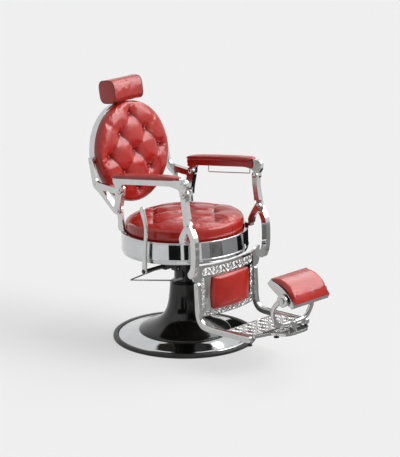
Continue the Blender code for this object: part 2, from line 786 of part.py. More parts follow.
def bolt(name, sign, pivot, inner, outer, carrier):
    """A pivot bolt with a domed head outside and a nut inside."""
    head = outer + FIT
    nut = inner - FIT
    profile = (
        (0.0, head + HEAD_HEIGHT),
        (BOLT_HEAD * 0.7, head + HEAD_HEIGHT * 0.75),
        (BOLT_HEAD, head),
        (BOLT_RADIUS, head),
        (BOLT_RADIUS, nut),
        (BOLT_HEAD, nut),
        (BOLT_HEAD, nut - HEAD_HEIGHT),
        (0.0, nut - HEAD_HEIGHT),
    )
    frame = Matrix.Translation((0, *pivot)) @ Matrix.Rotation(sign * pi / 2, 4, "Y")
    keep(turned(name, profile, 10), CHROME, carrier, frame)


for side, sign in SIDES:
    bracket("rear_bracket_" + side, sign, SEAT_REAR_PIVOT, REAR_FOOT)
    bracket("front_bracket_" + side, sign, SEAT_FRONT_PIVOT, FRONT_FOOT)
    bolt("rear_bolt_" + side, sign, SEAT_REAR_PIVOT, LANE_INNER, lane_outer, swivel_axis)
    bolt("front_bolt_" + side, sign, SEAT_FRONT_PIVOT, LANE_INNER, lane_outer, swivel_axis)


# Lever and release bail

lever_path = (SHAFT_PLACE, ((SHAFT_PLACE[0] + LEVER_BEND[0]) / 2, (SHAFT_PLACE[1] + LEVER_BEND[1]) / 2),
              LEVER_BEND, LEVER_TIP)
lever_outer = LEVER_LANE + LEVER_THICKNESS
lever = side_plate("lever", ribbon(lever_path, (3.4 * SHAFT_RADIUS, LEVER_WIDTH, LEVER_WIDTH, BLADE_WIDTH)),
                   LEVER_LANE, lever_outer, -1)
keep(lever, CHROME, lever_axis)
drill(lever, SHAFT_PLACE, SHAFT_RADIUS + FIT, LEVER_LANE - LEVER_THICKNESS, lever_outer + LEVER_THICKNESS, -1)
keep(bar("lever_shaft", (-SHAFT_START, *SHAFT_PLACE), (-lever_outer - BOLT_RADIUS / 2, *SHAFT_PLACE), SHAFT_RADIUS),
     ENAMEL, lever_axis)

bail_route = [Vector((bail_x, -BAIL_BOSS[0] / 2 - BAIL_RADIUS, bail_z)),
              Vector((bail_x, BAIL_BOSS[0] / 2 + BAIL_RADIUS + BAIL_BEND, bail_z)),
              Vector(BAIL_KNEE), Vector(BAIL_CORNER), Vector(BAIL_END)]
bail_points = [bail_route[0]]
for before, corner, after in zip(bail_route, bail_route[1:], bail_route[2:]):
    start = corner + (before - corner).normalized() * min(BAIL_BEND, (before - corner).length / 3)
    end = corner + (after - corner).normalized() * min(BAIL_BEND, (after - corner).length / 3)
    bail_points += [start * (1 - t) ** 2 + corner * 2 * t * (1 - t) + end * t * t for t in (0, 0.33, 0.67, 1)]
bail_points.append(bail_route[-1])
keep(as_mesh(tube("release_bail", bail_points, BAIL_RADIUS)), CHROME, bail_axis)

spring_start = Vector(BAIL_END) + (anchor - Vector(BAIL_END)).normalized() * (SPRING_WIRE + FIT)
spring_end = anchor + (Vector(BAIL_END) - anchor).normalized() * (SPRING_WIRE + FIT)
spring_line = spring_end - spring_start
spring_turn = spring_line.to_track_quat("Z", "Y").to_matrix()
hook = SPRING_RADIUS * 2
coil_length = spring_line.length - 2 * hook
spring_points = [spring_start, spring_start + spring_line.normalized() * hook / 2]
for k in range(SPRING_CURLS * CURL_POINTS + 1):
    angle = 2 * pi * k / CURL_POINTS
    height = hook + coil_length * k / (SPRING_CURLS * CURL_POINTS)
    spring_points.append(spring_start + spring_turn @ Vector(
        (SPRING_RADIUS * cos(angle), SPRING_RADIUS * sin(angle), height)))
spring_points += [spring_end - spring_line.normalized() * hook / 2, spring_end]
least_gap = min((a - b).length for i, a in enumerate(spring_points)
                for b in spring_points[i + CURL_POINTS // 2:]) - 2 * SPRING_WIRE
print("release spring, least gap to itself in mm:", round(least_gap * 1000, 2))
keep(as_mesh(tube("release_spring", spring_points, SPRING_WIRE, 1)), STEEL, swivel_axis)


# Back

oval = back_frame @ Matrix.Diagonal((BACK_SHAPE, 1, 1, 1))
hoop_back = -HOOP_FRONT - HOOP_DEPTH
hoop_bore = HOOP_RADIUS - HOOP_WALL
hoop_edge = HOOP_WALL / 4
keep(turned("back_hoop", (
    (HOOP_RADIUS - hoop_edge, -HOOP_FRONT),
    (HOOP_RADIUS, -HOOP_FRONT - hoop_edge),
    (HOOP_RADIUS, hoop_back + hoop_edge),
    (HOOP_RADIUS - hoop_edge, hoop_back),
    (hoop_bore, hoop_back),
    (hoop_bore, -HOOP_FRONT),
), 32, ring=True), CHROME, recline_axis, oval)

board_back = BOARD_FRONT + BOARD_THICKNESS
keep(turned("back_board", (
    (0.0, -BOARD_FRONT),
    (hoop_bore - FIT, -BOARD_FRONT),
    (hoop_bore - FIT, -board_back),
    (0.0, -board_back),
), 32), BOARD, recline_axis, oval)

panel_back = board_back + PANEL_DEPTH
panel_radius = hoop_bore - HOOP_WALL
keep(turned("back_panel", (
    (0.0, -board_back - FIT),
    (panel_radius - hoop_edge, -board_back - FIT),
    (panel_radius, -board_back - PANEL_DEPTH * 0.20),
    (panel_radius * 0.975, -board_back - PANEL_DEPTH * 0.60),
    (panel_radius * 0.88, -board_back - PANEL_DEPTH * 0.90),
    (panel_radius * 0.70, -panel_back),
    (0.0, -panel_back),
), 28), LEATHER, recline_axis, oval)

back_press = tufts(BACK_BUTTON_PITCH[0] / BACK_SHAPE, BACK_BUTTON_PITCH[1], 0.016, 0.022, 0.006, 0.011,
                   BACK_HALF_HEIGHT)
keep(cushion("back_cushion", (BACK_HALF_HEIGHT, BACK_HALF_HEIGHT), (20, 20), 1.0, BACK_CROWN, 3.2, (
    (-HOOP_FRONT, 0.975),
    (-BOARD_FRONT + FIT, 0.965),
), back_press), LEATHER, recline_axis, oval)

a_y, a_z = SEAT_REAR_PIVOT
c_y, c_z = ARM_REAR_PIVOT
rail_mid_z = BACK_PLACE[2]
rail_mid_y = BACK_PLACE[1] + HOOP_FRONT + RAIL_WIDTH / 4
rail_corners = (
    (RAIL_TOP[0] + RAIL_WIDTH / 2, RAIL_TOP[1], 0.012),
    (RAIL_TOP[0] - RAIL_WIDTH / 2, RAIL_TOP[1], 0.012),
    (rail_mid_y - RAIL_WIDTH / 2, rail_mid_z, 0.03),
    (RAIL_BEND[0] - RAIL_WIDTH / 2, RAIL_BEND[1] + RAIL_WIDTH / 3, 0.016),
    (c_y + LUG * 1.1, c_z + LUG * 0.2, 0.004),
    (c_y + LUG * 0.9, c_z + LUG, 0.012),
    (c_y - LUG, c_z + LUG, 0.016),
    (c_y - LUG, c_z - LUG, 0.02),
    (a_y - LUG, a_z + LUG, 0.02),
    (a_y - LUG, a_z - LUG, 0.016),
    (a_y + LUG, a_z - LUG, 0.016),
    (RAIL_BEND[0] - RAIL_WIDTH, RAIL_BEND[1] - RAIL_WIDTH * 1.5, 0.02),
    (RAIL_BEND[0] + RAIL_WIDTH * 0.4, RAIL_BEND[1] - RAIL_WIDTH * 0.8, 0.02),
    (rail_mid_y + RAIL_WIDTH / 2, rail_mid_z, 0.03),
)
window_corners = (
    (c_y + LUG * 1.5, c_z - LUG * 1.4, 0.005),
    (a_y + LUG * 1.2, a_z + LUG * 0.9, 0.006),
    (RAIL_BEND[0] - RAIL_WIDTH * 2.1, RAIL_BEND[1] - RAIL_WIDTH, 0.006),
)
boss_place = back_frame @ Vector((0, -BOSS_DROP, -HOOP_FRONT - BOSS_RADIUS))
boss_start = sqrt(HOOP_RADIUS ** 2 - BOSS_DROP ** 2) * BACK_SHAPE + FIT
for side, sign in SIDES:
    rail = side_plate("back_rail_" + side, rounded(rail_corners), LANE_INNER, lane_outer, sign)
    keep(rail, CHROME, recline_axis)
    cut(rail, block("rail_step_" + side, (sign * (LANE_INNER - LUG), RAIL_STEP, RAIL_BEND[1] / 2),
                    (sign * (lane_split + FIT), 2 * RAIL_STEP, 2 * RAIL_BEND[1])))
    cut(rail, side_plate("rail_window_" + side, rounded(window_corners), LANE_INNER - LUG, lane_outer + LUG,
                         sign))
    drill(rail, ARM_REAR_PIVOT, LUG + LUG_CLEAR, lane_split - FIT, lane_outer + LUG, sign)
    drill(rail, SEAT_REAR_PIVOT, LUG + 3 * LUG_CLEAR, LANE_INNER - LUG, lane_split + FIT, sign)
    for pivot in (ARM_REAR_PIVOT, SEAT_REAR_PIVOT):
        drill(rail, pivot, BOLT_RADIUS + FIT, LANE_INNER - LUG, lane_outer + LUG, sign)
    boss_y, boss_z = boss_place.y, boss_place.z
    join(rail, bar("rail_boss_" + side, (sign * boss_start, boss_y, boss_z),
                   (sign * (lane_split + LANE_WIDTH / 3), boss_y, boss_z), BOSS_RADIUS))


# Headrest

socket_front = -panel_back - FIT
socket_back = -post_depth - POST_SECTION[1] / 2 - SOCKET_WALL
socket = block("headrest_socket", (-SOCKET_SIZE[0] / 2, SOCKET_LOW, socket_front),
               (SOCKET_SIZE[0] / 2, SOCKET_LOW + SOCKET_SIZE[1], socket_back))
keep(socket, CHROME, recline_axis, back_frame)
slot = (POST_SECTION[0] / 2 + FIT, POST_SECTION[1] / 2 + FIT)
cut(socket, block("post_slot", (-slot[0], SOCKET_LOW - SOCKET_SIZE[1], -post_depth - slot[1]),
                  (slot[0], SOCKET_LOW + 2 * SOCKET_SIZE[1], -post_depth + slot[1])), back_frame)

post_low = knuckle_up - POST_LENGTH
post = block("headrest_post", (-POST_SECTION[0] / 2, post_low, -post_depth - POST_SECTION[1] / 2),
             (POST_SECTION[0] / 2, knuckle_up, -post_depth + POST_SECTION[1] / 2))
keep(post, CHROME, headrest_slide, back_frame)
join(post, bar("post_knuckle", (-POST_SECTION[0] / 2, knuckle_up, -post_depth),
               (POST_SECTION[0] / 2, knuckle_up, -post_depth), KNUCKLE), back_frame)
cut(post, bar("knuckle_bore", (-POST_SECTION[0], knuckle_up, -post_depth),
              (POST_SECTION[0], knuckle_up, -post_depth), PIN_RADIUS + FIT, 16), back_frame)

ear_start = POST_SECTION[0] / 2 + FIT
ear_end = ear_start + EAR_WIDTH
keep(bar("headrest_pin", (-ear_end, knuckle_up, -post_depth), (ear_end, knuckle_up, -post_depth), PIN_RADIUS, 16),
     STEEL, headrest_axis, back_frame)

head_back = HEAD_FRONT - HEAD_DEPTH / 2
board_face = head_back - FIT
board_rear = board_face - HEAD_BOARD[2]
head_board = block("headrest_board", (-HEAD_BOARD[0], head_up - HEAD_BOARD[1], board_face),
                   (HEAD_BOARD[0], head_up + HEAD_BOARD[1], board_rear))
keep(head_board, CHROME, headrest_axis, back_frame)
for ear_side, ear_sign in SIDES:
    ear_low = (ear_sign * ear_start, knuckle_up - KNUCKLE, board_rear + HEAD_BOARD[2] / 2)
    ear_high = (ear_sign * ear_end, knuckle_up + KNUCKLE, -post_depth - KNUCKLE)
    join(head_board, block("headrest_ear_" + ear_side, ear_low, ear_high), back_frame)
cut(head_board, bar("ear_bore", (-2 * ear_end, knuckle_up, -post_depth), (2 * ear_end, knuckle_up, -post_depth),
                    PIN_RADIUS + FIT, 16), back_frame)

keep(cushion("headrest_cushion", HEAD_HALF, (10, 8), 0.25, HEAD_DEPTH * 0.42, 3.5, (
    (-HEAD_DEPTH * 0.50, 0.99),
    (-HEAD_DEPTH * 0.58, 0.95),
)), LEATHER, headrest_axis, back_frame @ Matrix.Translation((0, head_up, head_back + HEAD_DEPTH * 0.58)))


# Arms

arm_rise = atan2(ARM_FRONT_TOP[1] - ARM_REAR_TOP[1], ARM_REAR_TOP[0] - ARM_FRONT_TOP[0])
d_y, d_z = ARM_FRONT_PIVOT


def arm_top(y):
    """Height of the arm's straight top edge."""
    return ARM_REAR_TOP[1] + (ARM_REAR_TOP[0] - y) * tan(arm_rise)


def arm_under(y):
    return arm_top(y) - ARM_DEPTH


scroll_front = d_y - LUG - SCROLL / 2
arm_knee = d_y + LUG * 4.4
front_under = (d_y + LUG, d_z + LUG)
arm_corners = (
    (c_y - LUG, c_z - LUG, 0.016),
    (c_y + LUG, c_z - LUG, 0.016),
    (c_y + LUG, c_z + LUG / 2, 0.010),
    (ARM_REAR_TOP[0], c_z + LUG * 1.8, 0.012),
    (ARM_REAR_TOP[0], arm_top(ARM_REAR_TOP[0]), 0.006),
    (ARM_FRONT_TOP[0], arm_top(ARM_FRONT_TOP[0]), 0.004),
    (ARM_FRONT_TOP[0] - SCROLL / 2, arm_top(ARM_FRONT_TOP[0]) + SCROLL / 3, 0.008),
    (scroll_front, arm_top(ARM_FRONT_TOP[0]) + SCROLL / 3, 0.022),
    (scroll_front, arm_top(ARM_FRONT_TOP[0]) - SCROLL * 1.6, 0.018),
    (d_y - LUG, d_z + LUG, 0.006),
    (d_y - LUG, d_z - LUG, 0.016),
    (d_y + LUG, d_z - LUG, 0.016),
    (*front_under, 0.014),
    (arm_knee, arm_under(arm_knee), 0.020),
    (c_y - LUG, arm_under(c_y - LUG), 0.020),
)
panel_drop = ARM_DEPTH / 14
lining_rear = ARM_REAR_TOP[0] - LUG / 2
lining_front = ARM_FRONT_TOP[0]
lining_corners = (
    (lining_rear, arm_top(lining_rear) - panel_drop, 0.004),
    (lining_front, arm_top(lining_front) - panel_drop, 0.008),
    (lining_front, d_z + LUG + 2 * LUG_CLEAR, 0.008),
    (arm_knee, arm_under(arm_knee), 0.012),
    (c_y, arm_under(c_y), 0.012),
    (lining_rear, arm_under(lining_rear) - LUG / 2, 0.006),
)
pad_middle = ((ARM_REAR_TOP[0] + ARM_FRONT_TOP[0]) / 2, (ARM_REAR_TOP[1] + ARM_FRONT_TOP[1]) / 2)
pad_half_length = hypot(ARM_REAR_TOP[0] - ARM_FRONT_TOP[0], ARM_REAR_TOP[1] - ARM_FRONT_TOP[1]) / 2
arm_middle = (arm_lane[0] + arm_lane[1]) / 2
for side, sign in SIDES:
    arm = side_plate("arm_" + side, rounded(arm_corners), *arm_lane, sign)
    keep(arm, CHROME, arm_axes[side])
    for pivot in (ARM_REAR_PIVOT, ARM_FRONT_PIVOT):
        drill(arm, pivot, BOLT_RADIUS + FIT, LANE_INNER, arm_lane[1] + LUG, sign)
    keep(side_plate("arm_lining_" + side, rounded(lining_corners), arm_lane[0] - FIT - PANEL_THICKNESS,
                    arm_lane[0] - FIT, sign), LEATHER, arm_axes[side])
    pad_frame = (Matrix.Translation((sign * arm_middle, *pad_middle)) @ Matrix.Rotation(-arm_rise, 4, "X")
                 @ Matrix.Translation((0, 0, PAD_HEIGHT / 3 + FIT)))
    keep(cushion("arm_pad_" + side, (PAD_HALF_WIDTH, pad_half_length), (4, 12), 0.30, PAD_HEIGHT * 2 / 3, 3.0, (
        (-PAD_HEIGHT / 3, 0.94),
    )), LEATHER, arm_axes[side], pad_frame)
    bolt("arm_rear_bolt_" + side, sign, ARM_REAR_PIVOT, LANE_INNER, arm_lane[1], recline_axis)
    bolt("arm_front_bolt_" + side, sign, ARM_FRONT_PIVOT, LANE_INNER, arm_lane[1], arm_axes[side])

front_share = (TOWEL_FRONT - front_under[0]) / (arm_knee - front_under[0])
towel_front_top = front_under[1] + (arm_under(arm_knee) - front_under[1]) * front_share - FIT * 2
towel_rear_top = arm_under(TOWEL_REAR) - FIT * 2
towel_low = [arm_under(y) - TOWEL_DROP for y in (TOWEL_REAR, TOWEL_FRONT)]
turn = 2 * TOWEL_RADIUS
towel_points = [
    (arm_middle, TOWEL_REAR, towel_rear_top),
    (arm_middle, TOWEL_REAR, towel_low[0] + turn),
    (arm_middle, TOWEL_REAR - turn / 3, towel_low[0] + turn / 3),
    (arm_middle, TOWEL_REAR - turn, towel_low[0]),
    (arm_middle, TOWEL_FRONT + turn, towel_low[1]),
    (arm_middle, TOWEL_FRONT + turn / 3, towel_low[1] + turn / 3),
    (arm_middle, TOWEL_FRONT, towel_low[1] + turn),
    (arm_middle, TOWEL_FRONT, towel_front_top),
]
keep(as_mesh(tube("towel_bar", towel_points, TOWEL_RADIUS)), CHROME, arm_axes["left"])


# Legrest

post_widths = (2 * LUG, POST_WIDTH, POST_WIDTH, 2.2 * LUG, *[POST_WIDTH] * 5, POST_WIDTH * 1.15)
bend_z = LEG_RAIL_FRONT[1]
for side, sign in SIDES:
    post_piece = side_plate("front_post_" + side, ribbon(POST_PATH, post_widths, 2), LANE_INNER, lane_outer, sign)
    keep(post_piece, CHROME, legrest_axis)
    drill(post_piece, ARM_FRONT_PIVOT, LUG + LUG_CLEAR, lane_split - FIT, lane_outer + LUG, sign)
    drill(post_piece, SEAT_FRONT_PIVOT, LUG + 3 * LUG_CLEAR, LANE_INNER - LUG, lane_split + FIT, sign)
    drill(post_piece, ARM_FRONT_PIVOT, BOLT_RADIUS + LOOSE_EYE, LANE_INNER - LUG, lane_outer + LUG, sign)
    drill(post_piece, SEAT_FRONT_PIVOT, BOLT_RADIUS + FIT, LANE_INNER - LUG, lane_outer + LUG, sign)
    keep(side_plate("leg_rail_" + side, ribbon(LEG_RAIL_PATH, [LEG_RAIL_WIDTH] * len(LEG_RAIL_PATH)), RAIL_LANE,
                    RAIL_LANE + LEG_RAIL_THICKNESS, sign), CHROME, legrest_axis)
    bumper_top = bend_z - LEG_RAIL_WIDTH / 2 - 3 * FIT
    keep(turned("rail_bumper_" + side, (
        (0.0, bumper_top),
        (BUMPER_RADIUS, bumper_top),
        (BUMPER_RADIUS, bumper_top - BUMPER_HEIGHT),
        (0.0, bumper_top - BUMPER_HEIGHT),
    ), 20), RUBBER, legrest_axis, Matrix.Translation(
        (sign * (RAIL_LANE + LEG_RAIL_THICKNESS / 2), LEG_RAIL_FRONT[0] + LEG_RAIL_WIDTH / 2, 0)))

frame_side = RAIL_LANE - FIT
frame_reach = LANE_INNER - FIT
frame_half = [
    (frame_side, FRAME_LOW, 0.010),
    (frame_side, LEG_RAIL_TOP + FIT, 0.0005),
    (frame_reach - 0.012, LEG_RAIL_TOP + FIT, 0.010),
    (frame_reach, LEG_RAIL_TOP + 0.030, 0.010),
    (frame_reach, FRAME_HIGH + 0.024, 0.004),
    (frame_reach * 0.80, FRAME_HIGH + 0.004, 0.020),
]
upper_z = CALF_CENTRE + CALF_HALF[1] + (FRAME_HIGH - CALF_CENTRE - CALF_HALF[1]) / 2
piercings = [circle(frame_side * k / 3.5, upper_z, PIERCING) for k in range(-3, 4)]
slot_x = (CALF_HALF[0] + frame_side) / 2
for k in range(-1, 2):
    for mirror in (-1, 1):
        piercings.append(circle(mirror * slot_x, CALF_CENTRE + k * CALF_HALF[1] * 0.6, PIERCING))


def calf_bulge(x):
    """How far the calf frame's face stands out before its sides."""
    return CALF_BULGE * max(0.0, 1 - (x / frame_side) ** 2)


bow = [frame_side * (2 * k / CALF_STEPS - 1) for k in range(CALF_STEPS + 1)]
bow = [-LANE_INNER, *bow, LANE_INNER]
calf_section = [(x, CALF_FACE - calf_bulge(x)) for x in bow]
calf_section += [(x, y + CALF_PLATE) for x, y in reversed(calf_section)]
calf_height = (FRAME_LOW + FRAME_HIGH) / 2
calf_frame = plate("calf_frame", calf_section, SEAT_HEIGHT, Matrix.Translation((0, 0, calf_height)))
keep(calf_frame, CHROME, legrest_axis)
face_frame = Matrix.Translation((0, CALF_FACE, 0)) @ Matrix.Rotation(pi / 2, 4, "X")
boolean(calf_frame, plate("calf_outline", rounded(mirrored(frame_half)), 3 * CALF_BULGE, face_frame), "INTERSECT")
for k, hole in enumerate(piercings):
    cut(calf_frame, plate("calf_piercing_%d" % k, hole, 3 * CALF_BULGE, face_frame))
pad_back = 0.006
keep(cushion("calf_pad", CALF_HALF, (10, 8), 0.22, CALF_CROWN - pad_back, 3.6, (
    (-pad_back, 0.97),
), bend=calf_bulge), LEATHER, legrest_axis, Matrix.Translation((0, CALF_FACE - FIT - pad_back, CALF_CENTRE))
     @ Matrix.Rotation(pi / 2, 4, "X"))

foot_frame = Matrix.Translation((0, *PLATE_REAR)) @ Matrix.Rotation(-PLATE_SLOPE, 4, "X")
plate_front = LEG_RAIL_FRONT[0] - PLATE_REAR[0]
foot_half = [
    (frame_side * 0.45, -PLATE_LENGTH, 0.050),
    (frame_side * 0.50, plate_front - 0.030, 0.020),
    (frame_side, plate_front, 0.012),
    (frame_side, 0.0, 0.010),
]
rows = 3
plate_holes = []
for row in range(rows):
    for k in range(4):
        plate_holes.append(circle(frame_side * (k - 1.5) * 0.46, plate_front * (row + 0.7) / rows, PIERCING))
keep(pierced_plate("footplate", rounded(mirrored(foot_half)), plate_holes, PLATE_THICKNESS, foot_frame),
     CHROME, legrest_axis)
for side, sign in SIDES:
    keep(turned("nose_bumper_" + side, (
        (0.0, -PLATE_THICKNESS / 2 - FIT),
        (BUMPER_RADIUS, -PLATE_THICKNESS / 2 - FIT),
        (BUMPER_RADIUS, -PLATE_THICKNESS / 2 - FIT - BUMPER_HEIGHT),
        (0.0, -PLATE_THICKNESS / 2 - FIT - BUMPER_HEIGHT),
    ), 20), RUBBER, legrest_axis, foot_frame @ Matrix.Translation((sign * NOSE_BUMPER[0], NOSE_BUMPER[1], 0)))

hub_low = PLATE_THICKNESS / 2 + FIT
yoke = turned("yoke", (
    (0.0, hub_low + YOKE_HUB_HEIGHT),
    (YOKE_HUB * 0.8, hub_low + YOKE_HUB_HEIGHT),
    (YOKE_HUB, hub_low + YOKE_HUB_HEIGHT * 0.8),
    (YOKE_HUB, hub_low),
    (0.0, hub_low),
), 16)
yoke_frame = foot_frame @ Matrix.Translation((0, YOKE_PLACE, 0))
keep(yoke, CHROME, legrest_axis, yoke_frame)
eye_x = FLAP_HALF[0] + EYE_GAP + EYE_WIDTH / 2
eye_y, eye_z = FLAP_PIVOT
yoke_middle = yoke_frame @ Vector((0, 0, hub_low + YOKE_HUB_HEIGHT - YOKE_RADIUS * 1.1))
sag = eye_z - yoke_middle.z
half_route = [
    Vector((eye_x, eye_y + EYE_RADIUS * 0.66, eye_z - EYE_RADIUS * 0.26)),
    Vector((eye_x, yoke_middle.y - 0.006, yoke_middle.z + sag * 0.66)),
    Vector((eye_x - 0.006, yoke_middle.y, yoke_middle.z + sag * 0.34)),
    Vector((eye_x - 0.045, yoke_middle.y, yoke_middle.z + sag * 0.05)),
]
yoke_route = [*half_route, yoke_middle, *(v * Vector((-1, 1, 1)) for v in reversed(half_route))]
join(yoke, as_mesh(tube("yoke_arms", along(yoke_route, 2), YOKE_RADIUS, 1)))
for side, sign in SIDES:
    join(yoke, turned("yoke_eye_" + side, (
        (EYE_RADIUS * 0.94, EYE_WIDTH / 2),
        (EYE_RADIUS, EYE_WIDTH / 4),
        (EYE_RADIUS, -EYE_WIDTH / 4),
        (EYE_RADIUS * 0.94, -EYE_WIDTH / 2),
        (FLAP_PIN + FIT, -EYE_WIDTH / 2),
        (FLAP_PIN + FIT, EYE_WIDTH / 2),
    ), 16, ring=True), Matrix.Translation((sign * eye_x, *FLAP_PIVOT)) @ Matrix.Rotation(pi / 2, 4, "Y"))


# Flip-over foot pad

flap_frame = Matrix.Translation((0, *FLAP_CENTRE)) @ Matrix.Rotation(FLAP_TILT, 4, "X")
tray_corners = (
    (-FLAP_HALF[1], 0.0, 0.002),
    (-FLAP_HALF[1], -TRAY_DEPTH * 0.95, 0.006),
    (-FLAP_HALF[1] * 0.60, -TRAY_DEPTH, 0.030),
    (FLAP_HALF[1] * 0.60, -TRAY_DEPTH, 0.030),
    (FLAP_HALF[1], -TRAY_DEPTH * 0.30, 0.010),
    (FLAP_HALF[1], 0.0, 0.002),
)
tray = plate("pad_tray", rounded(tray_corners), 2 * FLAP_HALF[0], flap_frame @ side_frame(0.0))
keep(tray, CHROME, flap_axis)
pin_end = eye_x + EYE_WIDTH / 2 + EYE_GAP / 2
for side, sign in SIDES:
    join(tray, bar("pad_ear_" + side, (sign * (FLAP_HALF[0] - EYE_WIDTH), *FLAP_PIVOT),
                   (sign * FLAP_HALF[0], *FLAP_PIVOT), FLAP_EAR))
    join(tray, bar("pad_pin_" + side, (sign * (FLAP_HALF[0] - EYE_WIDTH / 2), *FLAP_PIVOT),
                   (sign * pin_end, *FLAP_PIVOT), FLAP_PIN))

arch = FLAP_HALF[1] ** 2 / FLAP_CROWN / 2 + FLAP_CROWN / 2
spread = atan2(FLAP_HALF[1], arch - FLAP_CROWN)
pad_outline = []
for k in range(-ARCH_STEPS, ARCH_STEPS + 1):
    angle = spread * k / ARCH_STEPS
    pad_outline.append((arch * sin(angle), arch * cos(angle) - arch + FLAP_CROWN + FIT))
keep(plate("foot_pad", pad_outline, 2 * FLAP_HALF[0], flap_frame @ side_frame(0.0)), LEATHER, flap_axis)
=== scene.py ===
"""Looks of a barber chair: polished castings, tufted red leather, a black column and a plain pale studio.

Metres, +Z up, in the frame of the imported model. The chair faces -Y, so the sitter's left is +X.
"""

import json
from math import atan2, cos, exp, hypot, pi, radians, sin, sqrt, tan

import bmesh
import bpy
from mathutils import Matrix, Vector, noise
from mathutils.bvhtree import BVHTree


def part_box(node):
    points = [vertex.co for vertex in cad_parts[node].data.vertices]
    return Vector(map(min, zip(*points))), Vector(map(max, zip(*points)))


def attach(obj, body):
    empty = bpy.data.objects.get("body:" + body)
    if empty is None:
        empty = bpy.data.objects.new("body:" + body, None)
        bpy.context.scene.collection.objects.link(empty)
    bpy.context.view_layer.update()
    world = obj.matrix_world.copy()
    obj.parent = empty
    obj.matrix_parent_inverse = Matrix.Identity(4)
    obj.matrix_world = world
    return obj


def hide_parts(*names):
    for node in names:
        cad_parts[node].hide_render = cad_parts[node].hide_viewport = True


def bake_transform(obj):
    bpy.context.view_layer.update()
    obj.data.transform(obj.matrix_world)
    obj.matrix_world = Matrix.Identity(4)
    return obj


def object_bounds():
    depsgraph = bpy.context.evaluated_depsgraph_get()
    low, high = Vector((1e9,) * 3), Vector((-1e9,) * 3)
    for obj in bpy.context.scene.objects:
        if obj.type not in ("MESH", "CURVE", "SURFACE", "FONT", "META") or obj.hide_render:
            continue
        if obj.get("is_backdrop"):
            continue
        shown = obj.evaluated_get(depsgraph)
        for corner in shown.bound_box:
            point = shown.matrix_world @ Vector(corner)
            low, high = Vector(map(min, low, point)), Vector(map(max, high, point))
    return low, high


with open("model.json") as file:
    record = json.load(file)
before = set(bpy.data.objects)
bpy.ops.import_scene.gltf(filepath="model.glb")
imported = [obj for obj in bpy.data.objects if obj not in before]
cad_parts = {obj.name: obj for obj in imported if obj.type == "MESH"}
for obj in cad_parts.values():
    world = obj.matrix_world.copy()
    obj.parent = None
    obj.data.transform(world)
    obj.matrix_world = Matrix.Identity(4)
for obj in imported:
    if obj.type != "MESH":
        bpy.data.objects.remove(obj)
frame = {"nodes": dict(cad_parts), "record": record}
cad_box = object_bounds()
scene = bpy.context.scene
body_of = {node: body for body, members in frame["record"]["behaviour"]["bodies"].items() for node in members}
SIDES = (("left", 1), ("right", -1))

# Sizes of the solids that the pieces below are fitted to
FIT = 0.0003
SEAT_FRAME = Matrix.Translation((0, 0, 0.455)) @ Matrix.Rotation(radians(-2.3), 4, "X")
RING_RADIUS = 0.283
RING_TOP = 0.049
SEAT_RADIUS = 0.2625
SEAT_PLANE = 0.071
SEAT_PITCH = 0.095
BACK_FRAME = Matrix.Translation((0, 0.3425, 0.792)) @ Matrix.Rotation(radians(80), 4, "X")
OVAL = BACK_FRAME @ Matrix.Diagonal((0.948, 1, 1, 1))
BACK_RADIUS = 0.2225
HOOP_RADIUS = 0.2255
BACK_PITCH = (0.0775 / 0.948, 0.085)
HEAD_HALF = (0.088, 0.052, 0.050)
HEAD_CENTRE = (0.0, 0.279, -0.006)
SEAT_REAR_PIVOT = (0.1855, 0.590)
SEAT_FRONT_PIVOT = (-0.2415, 0.6055)
ARM_REAR_PIVOT = (0.171, 0.689)
ARM_FRONT_PIVOT = (-0.220, 0.741)
LANE_INNER = 0.212
LANE_SPLIT = 0.2245
LANE_OUTER = 0.237
ARM_LANE = (LANE_SPLIT + FIT, LANE_SPLIT + 0.018)
LUG = 0.016
LUG_CLEAR = 0.0045
BOLT_RADIUS = 0.0055
ARM_REAR_TOP = (0.206, 0.7378)
ARM_FRONT_TOP = (-0.199, 0.8008)
ARM_DEPTH = 0.028
RAIL_LANE = (0.169, 0.191)
CALF_FACE = -0.256
CALF_BULGE = 0.027
CALF_PLATE = 0.010
CALF_HALF = (0.117, 0.0765)
CALF_CENTRE = 0.2855
FOOT_FRAME = Matrix.Translation((0, -0.400, 0.150)) @ Matrix.Rotation(radians(-5), 4, "X")
FLAP_FRAME = Matrix.Translation((0, -0.686, 0.3795)) @ Matrix.Rotation(radians(32.7), 4, "X")
FLAP_PIVOT = (-0.697, 0.345)
FLAP_HALF = (0.110, 0.082)


def adjust(thing, settings):
    for key, value in settings.items():
        setattr(thing, key, value)


# Materials

